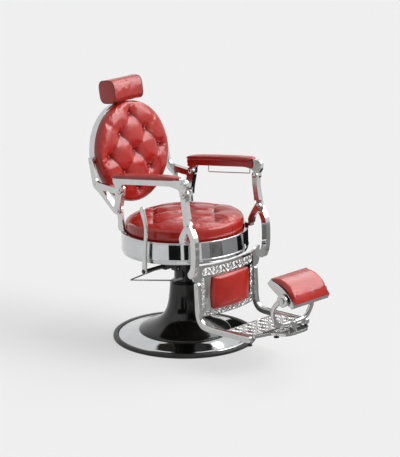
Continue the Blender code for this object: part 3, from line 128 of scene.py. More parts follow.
class Finish:
    """A material with a Principled shader, and short ways to feed its sockets."""

    def __init__(self, name, **sockets):
        self.material = bpy.data.materials.new(name)
        self.material.use_nodes = True
        self.tree = self.material.node_tree
        self.shader = self.tree.nodes["Principled BSDF"]
        for socket, value in sockets.items():
            self.shader.inputs[socket.replace("_", " ")].default_value = value
        self.place = self.node("TexCoord").outputs["Object"]
        self.height = None

    def node(self, kind, links=None, **settings):
        made = self.tree.nodes.new("ShaderNode" + kind)
        adjust(made, settings)
        for socket, source in (links or {}).items():
            self.feed(made.inputs[socket], source)
        return made

    def feed(self, socket, source):
        if isinstance(source, bpy.types.NodeSocket):
            self.tree.links.new(source, socket)
        else:
            socket.default_value = source

    def noise(self, scale, detail=3.0, distortion=0.0, stretch=(1, 1, 1)):
        spread = self.node("Mapping", {"Vector": self.place, "Scale": stretch})
        return self.node("TexNoise", {"Vector": spread.outputs["Vector"], "Scale": scale, "Detail": detail,
                                      "Distortion": distortion}).outputs["Fac"]

    def cells(self, scale):
        return self.node("TexVoronoi", {"Vector": self.place, "Scale": scale},
                         feature="DISTANCE_TO_EDGE").outputs["Distance"]

    def ramp(self, value, *stops):
        made = self.node("ValToRGB", {"Fac": value})
        elements = made.color_ramp.elements
        while len(elements) < len(stops):
            elements.new(0.5)
        for element, (place, colour) in zip(elements, stops):
            element.position = place
            element.color = (*colour, 1.0)
        return made.outputs["Color"]

    def span(self, value, low, high):
        return self.node("MapRange", {"Value": value, "From Min": 0.3, "From Max": 0.7,
                                      "To Min": low, "To Max": high}).outputs["Result"]

    def mix(self, share, a, b):
        made = self.node("Mix", data_type="RGBA")
        self.feed(made.inputs[0], share)
        self.feed(made.inputs[6], a)
        self.feed(made.inputs[7], b)
        return made.outputs[2]

    def bump(self, value, strength, distance):
        made = self.node("Bump", {"Height": value, "Strength": strength, "Distance": distance})
        if self.height:
            self.tree.links.new(self.height, made.inputs["Normal"])
        self.height = made.outputs["Normal"]
        self.tree.links.new(self.height, self.shader.inputs["Normal"])

    def set(self, socket, source):
        self.feed(self.shader.inputs[socket], source)


def leather(name, dark, light, painted_crease_shade):
    made = Finish(name, Specular_IOR_Level=0.58)
    mottle = made.ramp(made.noise(11, 5, 0.4), (0.30, dark), (0.70, light))
    # Painted shade: the fold attribute darkens the leather towards its last colour in creases, seams and
    # round buttons.
    fold = made.node("Attribute", attribute_name="fold").outputs["Fac"]
    made.set("Base Color", made.mix(fold, mottle, (*painted_crease_shade, 1.0)))
    made.set("Roughness", made.span(made.noise(26, 4), 0.16, 0.27))
    made.bump(made.noise(38, 6, 0.7), 0.22, 0.0022)
    made.bump(made.cells(430), 0.20, 0.0006)
    return made.material


def metal(name, colour, roughness, wave):
    made = Finish(name, Metallic=1.0)
    dull = tuple(0.93 * c for c in colour)
    made.set("Base Color", made.ramp(made.noise(20, 4), (0.35, dull), (0.65, colour)))
    made.set("Roughness", made.span(made.noise(13, 6, 0.3), *roughness))
    made.bump(made.noise(16, 2), 0.10, wave)
    return made.material


# The last colour is painted shade for creases, seams and button dimples.
RED = leather("red_leather", (0.410, 0.0115, 0.0063), (0.515, 0.0185, 0.0100), (0.045, 0.0018, 0.0015))
CHROME = metal("chrome", (0.60, 0.605, 0.615), (0.035, 0.085), 0.0003)
CASTING = metal("polished_casting", (0.60, 0.60, 0.59), (0.10, 0.18), 0.0008)
STEEL = metal("steel", (0.55, 0.56, 0.57), (0.24, 0.36), 0.0004)


def coated(name, mottle, dark, light, dull, roughness, relief, strength, depth, **sockets):
    """A material whose colour, roughness and relief each follow a noise, given by its arguments."""
    made = Finish(name, **sockets)
    made.set("Base Color", made.ramp(made.noise(*mottle), (0.3, dark), (0.7, light)))
    made.set("Roughness", made.span(made.noise(*dull), *roughness))
    made.bump(made.noise(*relief), strength, depth)
    return made.material


ENAMEL = coated("black_enamel", (9, 4), (0.007, 0.0065, 0.006), (0.013, 0.012, 0.011), (30, 4), (0.12, 0.22),
                (140, 2), 0.06, 0.0004, Specular_IOR_Level=0.2, Coat_Weight=0.45, Coat_Roughness=0.04)
RUBBER = coated("black_rubber", (40, 5), (0.013, 0.013, 0.012), (0.028, 0.027, 0.026), (60, 4), (0.32, 0.50),
                (500, 3), 0.15, 0.0004, Specular_IOR_Level=0.4)
BOARD = coated("board", (7, 6, 1.2, (1, 9, 1)), (0.030, 0.022, 0.015), (0.060, 0.044, 0.030), (40, 3),
               (0.55, 0.75), (60, 5, 0.5, (1, 12, 1)), 0.25, 0.0006, Specular_IOR_Level=0.3)


# Making and showing pieces

def placed(name, data):
    """A new object in the scene."""
    made = bpy.data.objects.new(name, data)
    scene.collection.objects.link(made)
    return made


def editable(mesh):
    bm = bmesh.new()
    bm.from_mesh(mesh)
    return bm


def to_mesh(bm):
    mesh = bpy.data.meshes.new("shape")
    bmesh.ops.recalc_face_normals(bm, faces=bm.faces)
    bm.to_mesh(mesh)
    bm.free()
    return mesh


def shaped(mesh, *steps):
    """A mesh after modifiers, each given as its kind and settings."""
    holder = placed("holder", mesh)
    for kind, settings in steps:
        adjust(holder.modifiers.new(kind, kind), settings)
    graph = bpy.context.evaluated_depsgraph_get()
    result = bpy.data.meshes.new_from_object(holder.evaluated_get(graph))
    bpy.data.objects.remove(holder)
    return result


def softened(mesh, width, segments=3, angle=38):
    """A mesh with its sharp edges rounded and its flats kept flat."""
    mesh.shade_smooth()
    return shaped(mesh, ("BEVEL", {"width": width, "segments": segments, "limit_method": "ANGLE",
                                   "angle_limit": radians(angle), "use_clamp_overlap": True}),
                  ("WEIGHTED_NORMAL", {"keep_sharp": True}))


def show(name, mesh, finish, body, *stands_for, edge=None):
    """Puts a mesh in the scene as a piece that rides on a body and may stand for nodes."""
    mesh.materials.clear()
    mesh.materials.append(finish)
    if edge:
        mesh.shade_smooth()
        mesh.set_sharp_from_angle(angle=radians(edge))
    piece = placed(name, mesh)
    if body:
        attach(piece, body)
    if stands_for:
        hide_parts(*stands_for)
    return piece


def joined(*meshes):
    bm = bmesh.new()
    for mesh in meshes:
        bm.from_mesh(mesh)
    mesh = bpy.data.meshes.new("shape")
    bm.to_mesh(mesh)
    bm.free()
    return mesh


def node_mesh(name):
    """A copy of a node's mesh with its faces welded and its flats whole."""
    bm = editable(frame["nodes"][name].data)
    bmesh.ops.remove_doubles(bm, verts=bm.verts, dist=0.00002)
    bmesh.ops.dissolve_limit(bm, angle_limit=radians(1), verts=bm.verts, edges=bm.edges)
    return to_mesh(bm)


def circle(steps):
    """The cosines and sines of equal steps round a circle."""
    return [(cos(2 * pi * k / steps), sin(2 * pi * k / steps)) for k in range(steps)]


def turned(profile, place=None, steps=128, ring=False):
    """A shape turned about Z from (radius, height) points; a ring's profile closes on itself."""
    bm = bmesh.new()
    place = place or Matrix()
    rows = []
    for radius, height in profile:
        if radius < 1e-6:
            rows.append([bm.verts.new(place @ Vector((0, 0, height)))] * steps)
            continue
        points = [place @ Vector((radius * c, radius * s, height)) for c, s in circle(steps)]
        rows.append([bm.verts.new(point) for point in points])
    pairs = list(zip(rows, rows[1:]))
    if ring:
        pairs.append((rows[-1], rows[0]))
    for lower, upper in pairs:
        for k in range(steps):
            corners = list(dict.fromkeys((lower[k - 1], lower[k], upper[k], upper[k - 1])))
            if len(corners) > 2:
                bm.faces.new(corners)
    return to_mesh(bm)


def arc(before, point, after, length, share, steps):
    """A corner rounded over a length, or over a share of the way to either neighbour where that is less."""
    start, end = (point + way.normalized() * min(length, way.length / share)
                  for way in (before - point, after - point))
    return [start * (1 - t) ** 2 + point * 2 * t * (1 - t) + end * t * t
            for t in (k / steps for k in range(steps + 1))]


def eased(profile, length, steps=4, ring=False):
    """A profile with its corners rounded; a ring's profile closes on itself."""
    points = [Vector(p) for p in profile]
    last = len(points) - 1
    result = []
    for i, point in enumerate(points):
        if ring or 0 < i < last:
            result += arc(points[i - 1], point, points[i + 1 if i < last else 0], length, 2.1, steps)
        else:
            result.append(point)
    return result


def along(points, steps):
    """Points on a smooth curve through the given ones."""
    points = [Vector(p) for p in points]
    points = [2 * points[0] - points[1], *points, 2 * points[-1] - points[-2]]
    smooth = []
    for a, b, c, d in zip(points, points[1:], points[2:], points[3:]):
        for k in range(steps):
            t = k / steps
            smooth.append(0.5 * (2 * b + (c - a) * t + (2 * a - 5 * b + 4 * c - d) * t * t
                                 + (3 * b - a - 3 * c + d) * t ** 3))
    return [*smooth, points[-2]]


def ribbon(path, widths, steps=8, cap=16):
    """The outline of a strip of varying width along a smooth path, round at both ends."""
    knots = along([(y, z, w) for (y, z), w in zip(path, widths)], steps)
    left, right = [], []
    for i, knot in enumerate(knots):
        way = knots[min(i + 1, len(knots) - 1)] - knots[max(i - 1, 0)]
        normal = Vector((-way.y, way.x)).normalized() * knot.z / 2
        left.append(knot.xy + normal)
        right.append(knot.xy - normal)
    caps = []
    for knot, start in ((knots[-1], left[-1]), (knots[0], right[0])):
        first = atan2(start.y - knot.y, start.x - knot.x)
        caps.append([Vector((knot.x + knot.z / 2 * cos(first - pi * k / cap),
                             knot.y + knot.z / 2 * sin(first - pi * k / cap))) for k in range(1, cap)])
    return [*left, *caps[0], *reversed(right), *caps[1]]


def rounded(corners, steps=10):
    """A closed outline through corners of (across, along, cut), each rounded over its cut."""
    points = [Vector(corner[:2]) for corner in corners]
    outline = []
    for before, point, after, corner in zip(points[-1:] + points, points, points[1:] + points[:1], corners):
        outline += arc(before, point, after, corner[2], 2.02, steps)
    return outline


def plate(outline, low, high, place):
    """A flat plate with an outline in its own plane, between two heights."""
    points = []
    for point in map(Vector, outline):
        if not points or (point - points[-1]).length > FIT:
            points.append(point)
    bm = bmesh.new()
    loops = [[bm.verts.new(place @ Vector((*point, height))) for point in points] for height in (low, high)]
    for i in range(len(points)):
        bm.faces.new((loops[0][i - 1], loops[0][i], loops[1][i], loops[1][i - 1]))
    bm.faces.new(loops[1])
    bm.faces.new(reversed(loops[0]))
    return to_mesh(bm)


SIDE_VIEW = Matrix(((0, 0, 1, 0), (1, 0, 0, 0), (0, 1, 0, 0), (0, 0, 0, 1)))


def side_plate(outline, inner, outer, sign):
    """A plate of the side view, outlined in (y, z), between two distances from the middle."""
    low, high = sorted((sign * inner, sign * outer))
    return plate(outline, low, high, SIDE_VIEW)


def disc(place, radius, steps=40):
    return [(place[0] + radius * c, place[1] + radius * s) for c, s in circle(steps)]


def cut(mesh, *tools):
    """A mesh less other meshes."""
    cutters = [placed("cutter", tool) for tool in tools]
    result = shaped(mesh, *(("BOOLEAN", {"object": cutter, "operation": "DIFFERENCE", "solver": "EXACT"})
                            for cutter in cutters))
    for cutter in cutters:
        bpy.data.objects.remove(cutter)
    return result


def skin(bm, rings):
    """Joins rings of points into a solid with a face over each end."""
    for a, b in zip(rings, rings[1:]):
        for k in range(len(a)):
            bm.faces.new((a[k - 1], a[k], b[k], b[k - 1]))
    bm.faces.new(rings[0])
    bm.faces.new(reversed(rings[-1]))


def sweep(strokes, sides=8, flat=1.0, normal=None):
    """Round strokes along lists of (point, radius), closed at both ends."""
    bm = bmesh.new()
    for stroke in strokes:
        rings = []
        points = [Vector(p) for p, radius in stroke]
        up = Vector((0, 0, 1)) if normal is None else Vector(normal)
        for i, (point, radius) in enumerate(stroke):
            way = (points[min(i + 1, len(points) - 1)] - points[max(i - 1, 0)]).normalized()
            across = way.cross(up)
            if across.length < 1e-3:
                across = way.cross(Vector((0.3, 1, 0.2)))
            across.normalize()
            lift = across.cross(way).normalized()
            up = lift if normal is None else up
            rings.append([bm.verts.new(Vector(point) + across * radius * c + lift * radius * flat * s)
                          for c, s in circle(sides)])
        skin(bm, rings)
    return to_mesh(bm)


def tube(points, radius, sides=16):
    return sweep([[(p, radius) for p in points]], sides)


def outward(sign, x, y, z):
    """A place whose Z points away from the chair's middle."""
    return Matrix.Translation((x, y, z)) @ Matrix.Rotation(sign * pi / 2, 4, "Y")


def window(x0, x1, y0, y1, ease):
    """The corners of a rectangle for rounded()."""
    return [(x0, y0, ease), (x1, y0, ease), (x1, y1, ease), (x0, y1, ease)]


# Base and column

RIM_HEIGHT = 0.016
rim = eased(((0.2984, 0.007), (0.2984, RIM_HEIGHT), (0.3105, RIM_HEIGHT), (0.3125, RIM_HEIGHT - 0.0016),
             (0.3145, RIM_HEIGHT - 0.0004), (0.3200, RIM_HEIGHT - 0.0050), (0.3200, 0.0), (0.2705, 0.0),
             (0.2705, 0.006), (0.2984, 0.006)), 0.0022, 4, True)
show("base_rim_trim", turned(rim, steps=192, ring=True), RUBBER, "base", "base_rim", edge=50)

disc_profile = [(0.0200, 0.0340), (0.2000, 0.0340), (0.2070, 0.0336), (0.2240, 0.0300), (0.2520, 0.0225),
                (0.2780, 0.0160), (0.2880, 0.0150), (0.2955, 0.0128), (0.2977, 0.0100), (0.2977, 0.0063),
                (0.2700, 0.0063), (0.2060, 0.0260), (0.0200, 0.0260)]
base_plate = turned(eased(disc_profile, 0.004, 4, True), steps=192, ring=True)
show("base_plate", base_plate, CHROME, "base", "base_disc", edge=50)

COLUMN_LOW = 0.0343
COLUMN_HEIGHT = 0.221
COLUMN_FOOT = 0.206
COLUMN_NECK = 0.062
flare = []
for row in range(61):
    rise = COLUMN_HEIGHT * (1 - row / 60) ** 1.6
    spread = (COLUMN_FOOT - COLUMN_NECK) / (1 + (rise / 0.040) ** 2)
    flare.append((COLUMN_NECK + spread, COLUMN_LOW + rise))
flare += [(COLUMN_FOOT - 0.012, COLUMN_LOW), (0.120, 0.070), (0.080, 0.110), (0.0503, 0.167),
          (0.0503, COLUMN_LOW + COLUMN_HEIGHT)]
flare.insert(61, (COLUMN_FOOT, COLUMN_LOW + 0.0001))
show("column_shell", turned(flare, steps=160, ring=True), ENAMEL, "base", "column", edge=50)

gland = eased(((0.0356, 0.2556), (0.0580, 0.2556), (0.0580, 0.2616), (0.0356, 0.2616)), 0.0016, 4, True)
show("gland_collar", turned(gland, steps=96, ring=True), ENAMEL, "base", "column_gland", edge=50)


# Seat ring and the bolts of the pivots

ring_low = -0.049
bead = ring_low + 0.019
ring_profile = [(RING_RADIUS - inset, height) for inset, height in (
    (0.017, RING_TOP), (0.0015, RING_TOP), (0.0, RING_TOP - 0.0018), (0.0, RING_TOP - 0.005),
    (0.002, RING_TOP - 0.007), (0.002, bead + 0.0030), (0.0004, bead + 0.0012), (0.0004, bead - 0.0012),
    (0.002, bead - 0.0030), (0.0035, ring_low + 0.0065), (0.0065, ring_low), (0.021, ring_low),
    (0.021, ring_low + 0.0035), (0.0065, ring_low + 0.0035), (0.0065, RING_TOP - 0.005),
    (0.017, RING_TOP - 0.005))]
seat_band = turned(eased(ring_profile, 0.0012, 3, True), SEAT_FRAME, 192, True)
show("seat_band", seat_band, CHROME, "seat", "seat_ring", edge=40)


def bolt(name, sign, pivot, outer, node):
    """A pivot bolt with a domed and slotless head, a collar under it and a nut inside."""
    head = outer + FIT
    nut = LANE_INNER - FIT
    dome = [(0.0105 * cos(k * pi / 16), head + 0.0012 + 0.0043 * sin(k * pi / 16)) for k in range(8, -1, -1)]
    profile = [*dome, (0.0105, head), (BOLT_RADIUS, head), (BOLT_RADIUS, nut), (0.0100, nut),
               (0.0105, nut - 0.001), (0.0105, nut - 0.0045), (0.0090, nut - 0.0055), (0.0, nut - 0.0055)]
    show(name, turned(profile, outward(sign, 0, *pivot), 40), CHROME, body_of[node], node, edge=40)


BOLTS = (("rear", SEAT_REAR_PIVOT, LANE_OUTER), ("front", SEAT_FRONT_PIVOT, LANE_OUTER),
         ("arm_rear", ARM_REAR_PIVOT, ARM_LANE[1]), ("arm_front", ARM_FRONT_PIVOT, ARM_LANE[1]))
for side, sign in SIDES:
    for name, pivot, outer in BOLTS:
        bolt(name + "_pivot_" + side, sign, pivot, outer, name + "_bolt_" + side)


# Side plates: arms, rails, posts

arm_rise = atan2(ARM_FRONT_TOP[1] - ARM_REAR_TOP[1], ARM_REAR_TOP[0] - ARM_FRONT_TOP[0])
c_y, c_z = ARM_REAR_PIVOT
d_y, d_z = ARM_FRONT_PIVOT
a_y, a_z = SEAT_REAR_PIVOT
SCROLL = 0.021


def arm_top(y):
    return ARM_REAR_TOP[1] + (ARM_REAR_TOP[0] - y) * tan(arm_rise)


def arm_under(y):
    return arm_top(y) - ARM_DEPTH


scroll_front = d_y - LUG - SCROLL / 2
arm_knee = d_y + LUG * 4.4
front_top = arm_top(ARM_FRONT_TOP[0])
arm_corners = (
    (c_y - LUG, c_z - LUG, 0.016), (c_y + LUG, c_z - LUG, 0.016), (c_y + LUG, c_z + LUG / 2, 0.010),
    (ARM_REAR_TOP[0], c_z + LUG * 1.8, 0.012), (ARM_REAR_TOP[0], arm_top(ARM_REAR_TOP[0]), 0.006),
    (ARM_FRONT_TOP[0], front_top, 0.004), (ARM_FRONT_TOP[0] - SCROLL / 2, front_top + SCROLL / 3, 0.008),
    (scroll_front, front_top + SCROLL / 3, 0.022), (scroll_front, front_top - SCROLL * 1.6, 0.018),
    (d_y - LUG, d_z + LUG, 0.006), (d_y - LUG, d_z - LUG, 0.016), (d_y + LUG, d_z - LUG, 0.016),
    (d_y + LUG, d_z + LUG, 0.014), (arm_knee, arm_under(arm_knee), 0.020),
    (c_y - LUG, arm_under(c_y - LUG), 0.020))
volute_place = (scroll_front + 0.0185, front_top - 0.0125)


def hole(sign, place, radius, inner=LANE_INNER - LUG, outer=LANE_OUTER + LUG):
    """A round cutter of the side view, through all the lanes unless it is told otherwise."""
    return side_plate(disc(place, radius), inner, outer, sign)


for side, sign in SIDES:
    arm = side_plate(rounded(arm_corners), *ARM_LANE, sign)
    arm = cut(arm, *(hole(sign, p, BOLT_RADIUS + FIT, LANE_INNER, LANE_OUTER + 0.033)
                     for p in (ARM_REAR_PIVOT, ARM_FRONT_PIVOT)))
    show("arm_casting_" + side, softened(arm, 0.0042, 4), CASTING, "arm_" + side, "arm_" + side)
    knob = [(0.0, 0.0045), (0.0040, 0.0044), (0.0055, 0.0026), (0.0072, 0.0026), (0.0088, 0.0052),
            (0.0120, 0.0058), (0.0148, 0.0040), (0.0158, 0.0), (0.0150, -0.002), (0.0, -0.002)]
    place = outward(sign, sign * ARM_LANE[1], *volute_place)
    show("arm_volute_" + side, turned(eased(knob, 0.0012), place, 48), CASTING, "arm_" + side, edge=50)

RAIL_WIDTH = 0.024
RAIL_TOP = (0.3545, 0.800)
RAIL_BEND = (0.326, 0.690)
rail_mid = (0.3425 + 0.004 + RAIL_WIDTH / 4, 0.792)
rail_corners = (
    (RAIL_TOP[0] + RAIL_WIDTH / 2, RAIL_TOP[1], 0.012), (RAIL_TOP[0] - RAIL_WIDTH / 2, RAIL_TOP[1], 0.012),
    (rail_mid[0] - RAIL_WIDTH / 2, rail_mid[1], 0.03),
    (RAIL_BEND[0] - RAIL_WIDTH / 2, RAIL_BEND[1] + RAIL_WIDTH / 3, 0.016),
    (c_y + LUG * 1.1, c_z + LUG * 0.2, 0.004), (c_y + LUG * 0.9, c_z + LUG, 0.012),
    (c_y - LUG, c_z + LUG, 0.016), (c_y - LUG, c_z - LUG, 0.02),
    (a_y - LUG, a_z + LUG, 0.02), (a_y - LUG, a_z - LUG, 0.016), (a_y + LUG, a_z - LUG, 0.016),
    (RAIL_BEND[0] - RAIL_WIDTH, RAIL_BEND[1] - RAIL_WIDTH * 1.5, 0.02),
    (RAIL_BEND[0] + RAIL_WIDTH * 0.4, RAIL_BEND[1] - RAIL_WIDTH * 0.8, 0.02),
    (rail_mid[0] + RAIL_WIDTH / 2, rail_mid[1], 0.03))
window_corners = (
    (c_y + LUG * 1.5, c_z - LUG * 1.4, 0.005), (a_y + LUG * 1.2, a_z + LUG * 0.9, 0.006),
    (RAIL_BEND[0] - RAIL_WIDTH * 2.1, RAIL_BEND[1] - RAIL_WIDTH, 0.006))
step_corners = ((0.275, 0.3), (0.6, 0.3), (0.6, 1.2), (0.275, 1.2))
boss_place = BACK_FRAME @ Vector((0, -0.012, -0.014))
for side, sign in SIDES:
    rail = side_plate(rounded(rail_corners), LANE_INNER, LANE_OUTER, sign)
    rail = cut(rail, side_plate(step_corners, LANE_INNER - LUG, LANE_SPLIT + FIT, sign),
               side_plate(rounded(window_corners), LANE_INNER - LUG, LANE_OUTER + LUG, sign),
               hole(sign, ARM_REAR_PIVOT, LUG + LUG_CLEAR, inner=LANE_SPLIT - FIT),
               hole(sign, SEAT_REAR_PIVOT, LUG + 3 * LUG_CLEAR, outer=LANE_SPLIT + FIT),
               *(hole(sign, p, BOLT_RADIUS + FIT) for p in (ARM_REAR_PIVOT, SEAT_REAR_PIVOT)))
    rail = softened(rail, 0.0028, 3)
    boss = turned(((0.0, 0.2139), (0.010, 0.2139), (0.010, LANE_SPLIT + 0.006), (0.0, LANE_SPLIT + 0.006)),
                  outward(sign, 0, boss_place.y, boss_place.z), 32)
    show("back_side_rail_" + side, rail, CASTING, "back", "back_rail_" + side)
    show("back_rail_boss_" + side, softened(boss, 0.001), CASTING, "back")
    for k, (y, z) in enumerate(((0.3535, 0.780), (0.3230, 0.688))):
        screw = [(0.0, 0.0026), (0.0022, 0.0024), (0.0040, 0.0012), (0.0046, -0.0004), (0.0, -0.0004)]
        place = outward(sign, sign * LANE_OUTER, y, z)
        show("rail_screw_%s_%d" % (side, k), turned(screw, place, 24), STEEL, "back", edge=50)

POST_WIDTH = 0.028
POST_PATH = (ARM_FRONT_PIVOT, (-0.222, 0.700), (-0.231, 0.650), SEAT_FRONT_PIVOT, (-0.262, 0.575),
             (-0.276, 0.545), (-0.281, 0.500), (-0.281, 0.450), (-0.276, 0.415), (-0.264, 0.390))
post_widths = (2 * LUG, POST_WIDTH, POST_WIDTH, 2.2 * LUG, *[POST_WIDTH] * 5, POST_WIDTH * 1.15)
RAIL_PATH = ((-0.252, 0.329), (-0.257, 0.260), (-0.261, 0.200), (-0.277, 0.163), (-0.315, 0.148),
             (-0.440, 0.150), (-0.560, 0.154))
for side, sign in SIDES:
    post = side_plate(ribbon(POST_PATH, post_widths, 16), LANE_INNER, LANE_OUTER, sign)
    post = cut(post, hole(sign, ARM_FRONT_PIVOT, LUG + LUG_CLEAR, inner=LANE_SPLIT - FIT),
               hole(sign, SEAT_FRONT_PIVOT, LUG + 3 * LUG_CLEAR, outer=LANE_SPLIT + FIT),
               hole(sign, ARM_FRONT_PIVOT, BOLT_RADIUS + 0.004),
               hole(sign, SEAT_FRONT_PIVOT, BOLT_RADIUS + FIT))
    show("front_post_casting_" + side, softened(post, 0.0048, 4), CASTING, "legrest", "front_post_" + side)
    leg = side_plate(ribbon(RAIL_PATH, [0.028] * 7), *RAIL_LANE, sign)
    show("leg_rail_casting_" + side, softened(leg, 0.0055, 4), CASTING, "legrest", "leg_rail_" + side)
    for k, (y, z) in enumerate(((-0.405, 0.149), (-0.2515, 0.318))):
        stud = [(0.0, 0.0042), (0.0030, 0.0039), (0.0058, 0.0026), (0.0072, 0.0006), (0.0074, -0.0005),
                (0.0, -0.0005)]
        place = outward(sign, sign * RAIL_LANE[1], y, z)
        show("leg_rail_stud_%s_%d" % (side, k), turned(stud, place, 28), CHROME, "legrest", edge=50)

for node in ("rear_bracket_left", "rear_bracket_right", "front_bracket_left", "front_bracket_right"):
    show(node + "_casting", softened(node_mesh(node), 0.0022, 3, 30), CASTING, body_of[node], node)
show("hub_casting", softened(node_mesh("swivel_hub"), 0.0015, 2, 40), ENAMEL, "seat", "swivel_hub")

SHAFT = (-0.048, 0.376)
LEVER_BEND = (-0.059, 0.575)
LEVER_TIP = (-0.037, 0.652)
lever_path = (SHAFT, ((SHAFT[0] + LEVER_BEND[0]) / 2, (SHAFT[1] + LEVER_BEND[1]) / 2), LEVER_BEND, LEVER_TIP)
lever = side_plate(ribbon(lever_path, (0.0272, 0.018, 0.018, 0.026), 12), 0.295, 0.305, -1)
lever = cut(lever, hole(-1, SHAFT, 0.0083, 0.28, 0.32))
show("lever_blade", softened(lever, 0.0034, 4), CASTING, "lever", "lever")


# Release bail, its spring and the towel bar

def bent(route, bend, steps=8):
    """A route with its corners rounded."""
    route = [Vector(p) for p in route]
    points = [route[0]]
    for before, point, after in zip(route, route[1:], route[2:]):
        points += arc(before, point, after, bend, 3, steps)
    return [*points, route[-1]]


BAIL_END = Vector((-0.130, -0.058, 0.300))
ANCHOR = Vector((-0.060, -0.046, 0.294))
bail_route = ((-0.062, -0.019, 0.330), (-0.062, 0.029, 0.330), (-0.152, 0.040, 0.330), (-0.330, 0.014, 0.330),
              BAIL_END)
show("bail_wire", tube(bent(bail_route, 0.010), 0.003), CHROME, "bail", "release_bail", edge=50)

spring_way = (ANCHOR - BAIL_END).normalized()
spring_from = BAIL_END + spring_way * 0.0012
spring_to = ANCHOR - spring_way * 0.0012
turn = spring_way.to_track_quat("Z", "Y").to_matrix()
hook = 0.010
coil = (spring_to - spring_from).length - 2 * hook
spring = [spring_from, spring_from + spring_way * hook / 2]
CURL_STEPS = 13 * 16
for k in range(CURL_STEPS + 1):
    angle = 2 * pi * k / 16
    curl = Vector((0.005 * cos(angle), 0.005 * sin(angle), hook + coil * k / CURL_STEPS))
    spring.append(spring_from + turn @ curl)
spring += [spring_to - spring_way * hook / 2, spring_to]
coil_piece = show("bail_spring", tube(spring, 0.0009, 6), STEEL, None, "release_spring", edge=60)
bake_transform(coil_piece)

arm_middle = sum(ARM_LANE) / 2
towel_rear, towel_front = 0.079, -0.173
share = (towel_front - d_y - LUG) / (arm_knee - d_y - LUG)
front_hook = d_z + LUG + (arm_under(arm_knee) - d_z - LUG) * share
towel_route = ((arm_middle, towel_rear, arm_under(towel_rear) - 0.0004),
               (arm_middle, towel_rear, arm_under(towel_rear) - 0.030),
               (arm_middle, towel_front, arm_under(towel_front) - 0.030),
               (arm_middle, towel_front, front_hook - 0.0004))
show("towel_wire", tube(bent(towel_route, 0.006), 0.0025), CHROME, "arm_left", "towel_bar", edge=50)


# Back hoop, socket, post and headrest fittings

hoop_bore = HOOP_RADIUS - 0.007
hoop = eased(((hoop_bore, -0.004), (HOOP_RADIUS, -0.004), (HOOP_RADIUS, -0.038), (hoop_bore, -0.038)),
             0.0026, 4, True)
show("back_band", turned(hoop, OVAL, 160, True), CHROME, "back", "back_hoop", edge=50)
for node in ("headrest_socket", "headrest_post", "headrest_board"):
    show(node + "_chromed", softened(node_mesh(node), 0.0016, 3, 30), CHROME, body_of[node], node)


# Scrollwork of the calf frame and the footplate

def running_scroll(length, height, waves, thick, flip=1):
    """Strokes of a running scroll in a band: a waving stem with a curl and two leaves in each bend."""
    strokes = []
    pitch = length / waves
    reach = min(pitch, height) / 2
    rise = height / 2 - thick
    stem = []
    count = waves * 12
    for k in range(count + 1):
        u = length * (k / count - 0.5)
        stem.append(((u, flip * rise * sin(pi * waves * k / count)), thick))
    strokes.append(stem)
    for w in range(waves):
        bend = flip if w % 2 == 0 else -flip
        middle = Vector((length * ((w + 0.5) / waves - 0.5), -bend * rise * 0.10))
        curl = []
        for k in range(23):
            t = k / 22
            angle = pi - 2 * pi * 1.45 * t
            size = reach * (0.88 - 0.70 * t)
            place = middle + Vector((size * cos(angle), bend * size * sin(angle)))
            curl.append((place, thick * (1.05 - 0.3 * t)))
        strokes.append(curl)
        eye = middle + Vector((reach * 0.04, 0))
        strokes.append([(eye + Vector((way * thick * 0.7, 0)), thick * 1.2) for way in (-1, 1)])
        for way in (-1, 1):
            leaf = []
            for k in range(8):
                t = k / 7
                place = middle + Vector((way * pitch * (0.18 + 0.30 * t),
                                         -bend * (rise * (0.42 + 0.62 * sin(t * 1.4)))))
                leaf.append((place, thick * (0.35 + 1.1 * sin(pi * t) * (1 - 0.4 * t))))
            strokes.append(leaf)
    return strokes


def calf_bulge(x):
    return CALF_BULGE * max(0.0, 1 - (x / 0.1687) ** 2)


def on_calf(x, z):
    """A point in the middle of the calf frame's thickness."""
    return Vector((x, CALF_FACE + CALF_PLATE / 2 - calf_bulge(x), z))


FRAME_LOW, FRAME_HIGH = 0.183, 0.408
frame_half = [(0.1687, FRAME_LOW, 0.010), (0.1687, 0.3433, 0.0005), (0.1997, 0.3433, 0.010),
              (0.2117, 0.373, 0.010), (0.2117, FRAME_HIGH + 0.024, 0.004),
              (0.1694, FRAME_HIGH + 0.004, 0.020)]
outline = rounded([*frame_half, *((-x, z, r) for x, z, r in reversed(frame_half))])
bow = [0.1687 * (k / 24 - 1) for k in range(49)]
section = [(x, CALF_FACE - calf_bulge(x)) for x in (-0.213, *bow, 0.213)]
section += [(x, y + CALF_PLATE) for x, y in reversed(section)]
slab = plate(section, 0.10, 0.50, Matrix())
face = Matrix.Rotation(pi / 2, 4, "X")
blank = plate([(-0.4, 0.05), (0.4, 0.05), (0.4, 0.6), (-0.4, 0.6)], 0.12, 0.40, face)
waste = cut(blank, plate(outline, 0.10, 0.42, face))
pad_low, pad_high = CALF_CENTRE - CALF_HALF[1], CALF_CENTRE + CALF_HALF[1]
upper = (pad_high + 0.003, FRAME_HIGH - 0.005)
lower = (FRAME_LOW + 0.004, pad_low - 0.003)
side_band = (0.141, 0.1645)
BAND_HALF = 0.158
windows = [window(-BAND_HALF, BAND_HALF, *upper, 0.006), window(-BAND_HALF, BAND_HALF, *lower, 0.004)]
for way in (-1, 1):
    x0, x1 = sorted((way * side_band[0], way * side_band[1]))
    windows.append(window(x0, x1, pad_low + 0.004, pad_high - 0.004, 0.005))
calf = cut(slab, waste, *(plate(rounded(w, 6), 0.12, 0.40, face) for w in windows))
show("calf_casting", softened(calf, 0.0018, 3, 40), CASTING, "legrest", "calf_frame")
calf_strokes = []
for low, high, waves in ((*upper, 8), (*lower, 10)):
    middle = (low + high) / 2
    for stroke in running_scroll(0.318, high - low + 0.002, waves, 0.0029 if waves < 10 else 0.0021):
        calf_strokes.append([(on_calf(u, middle + v), r) for (u, v), r in stroke])
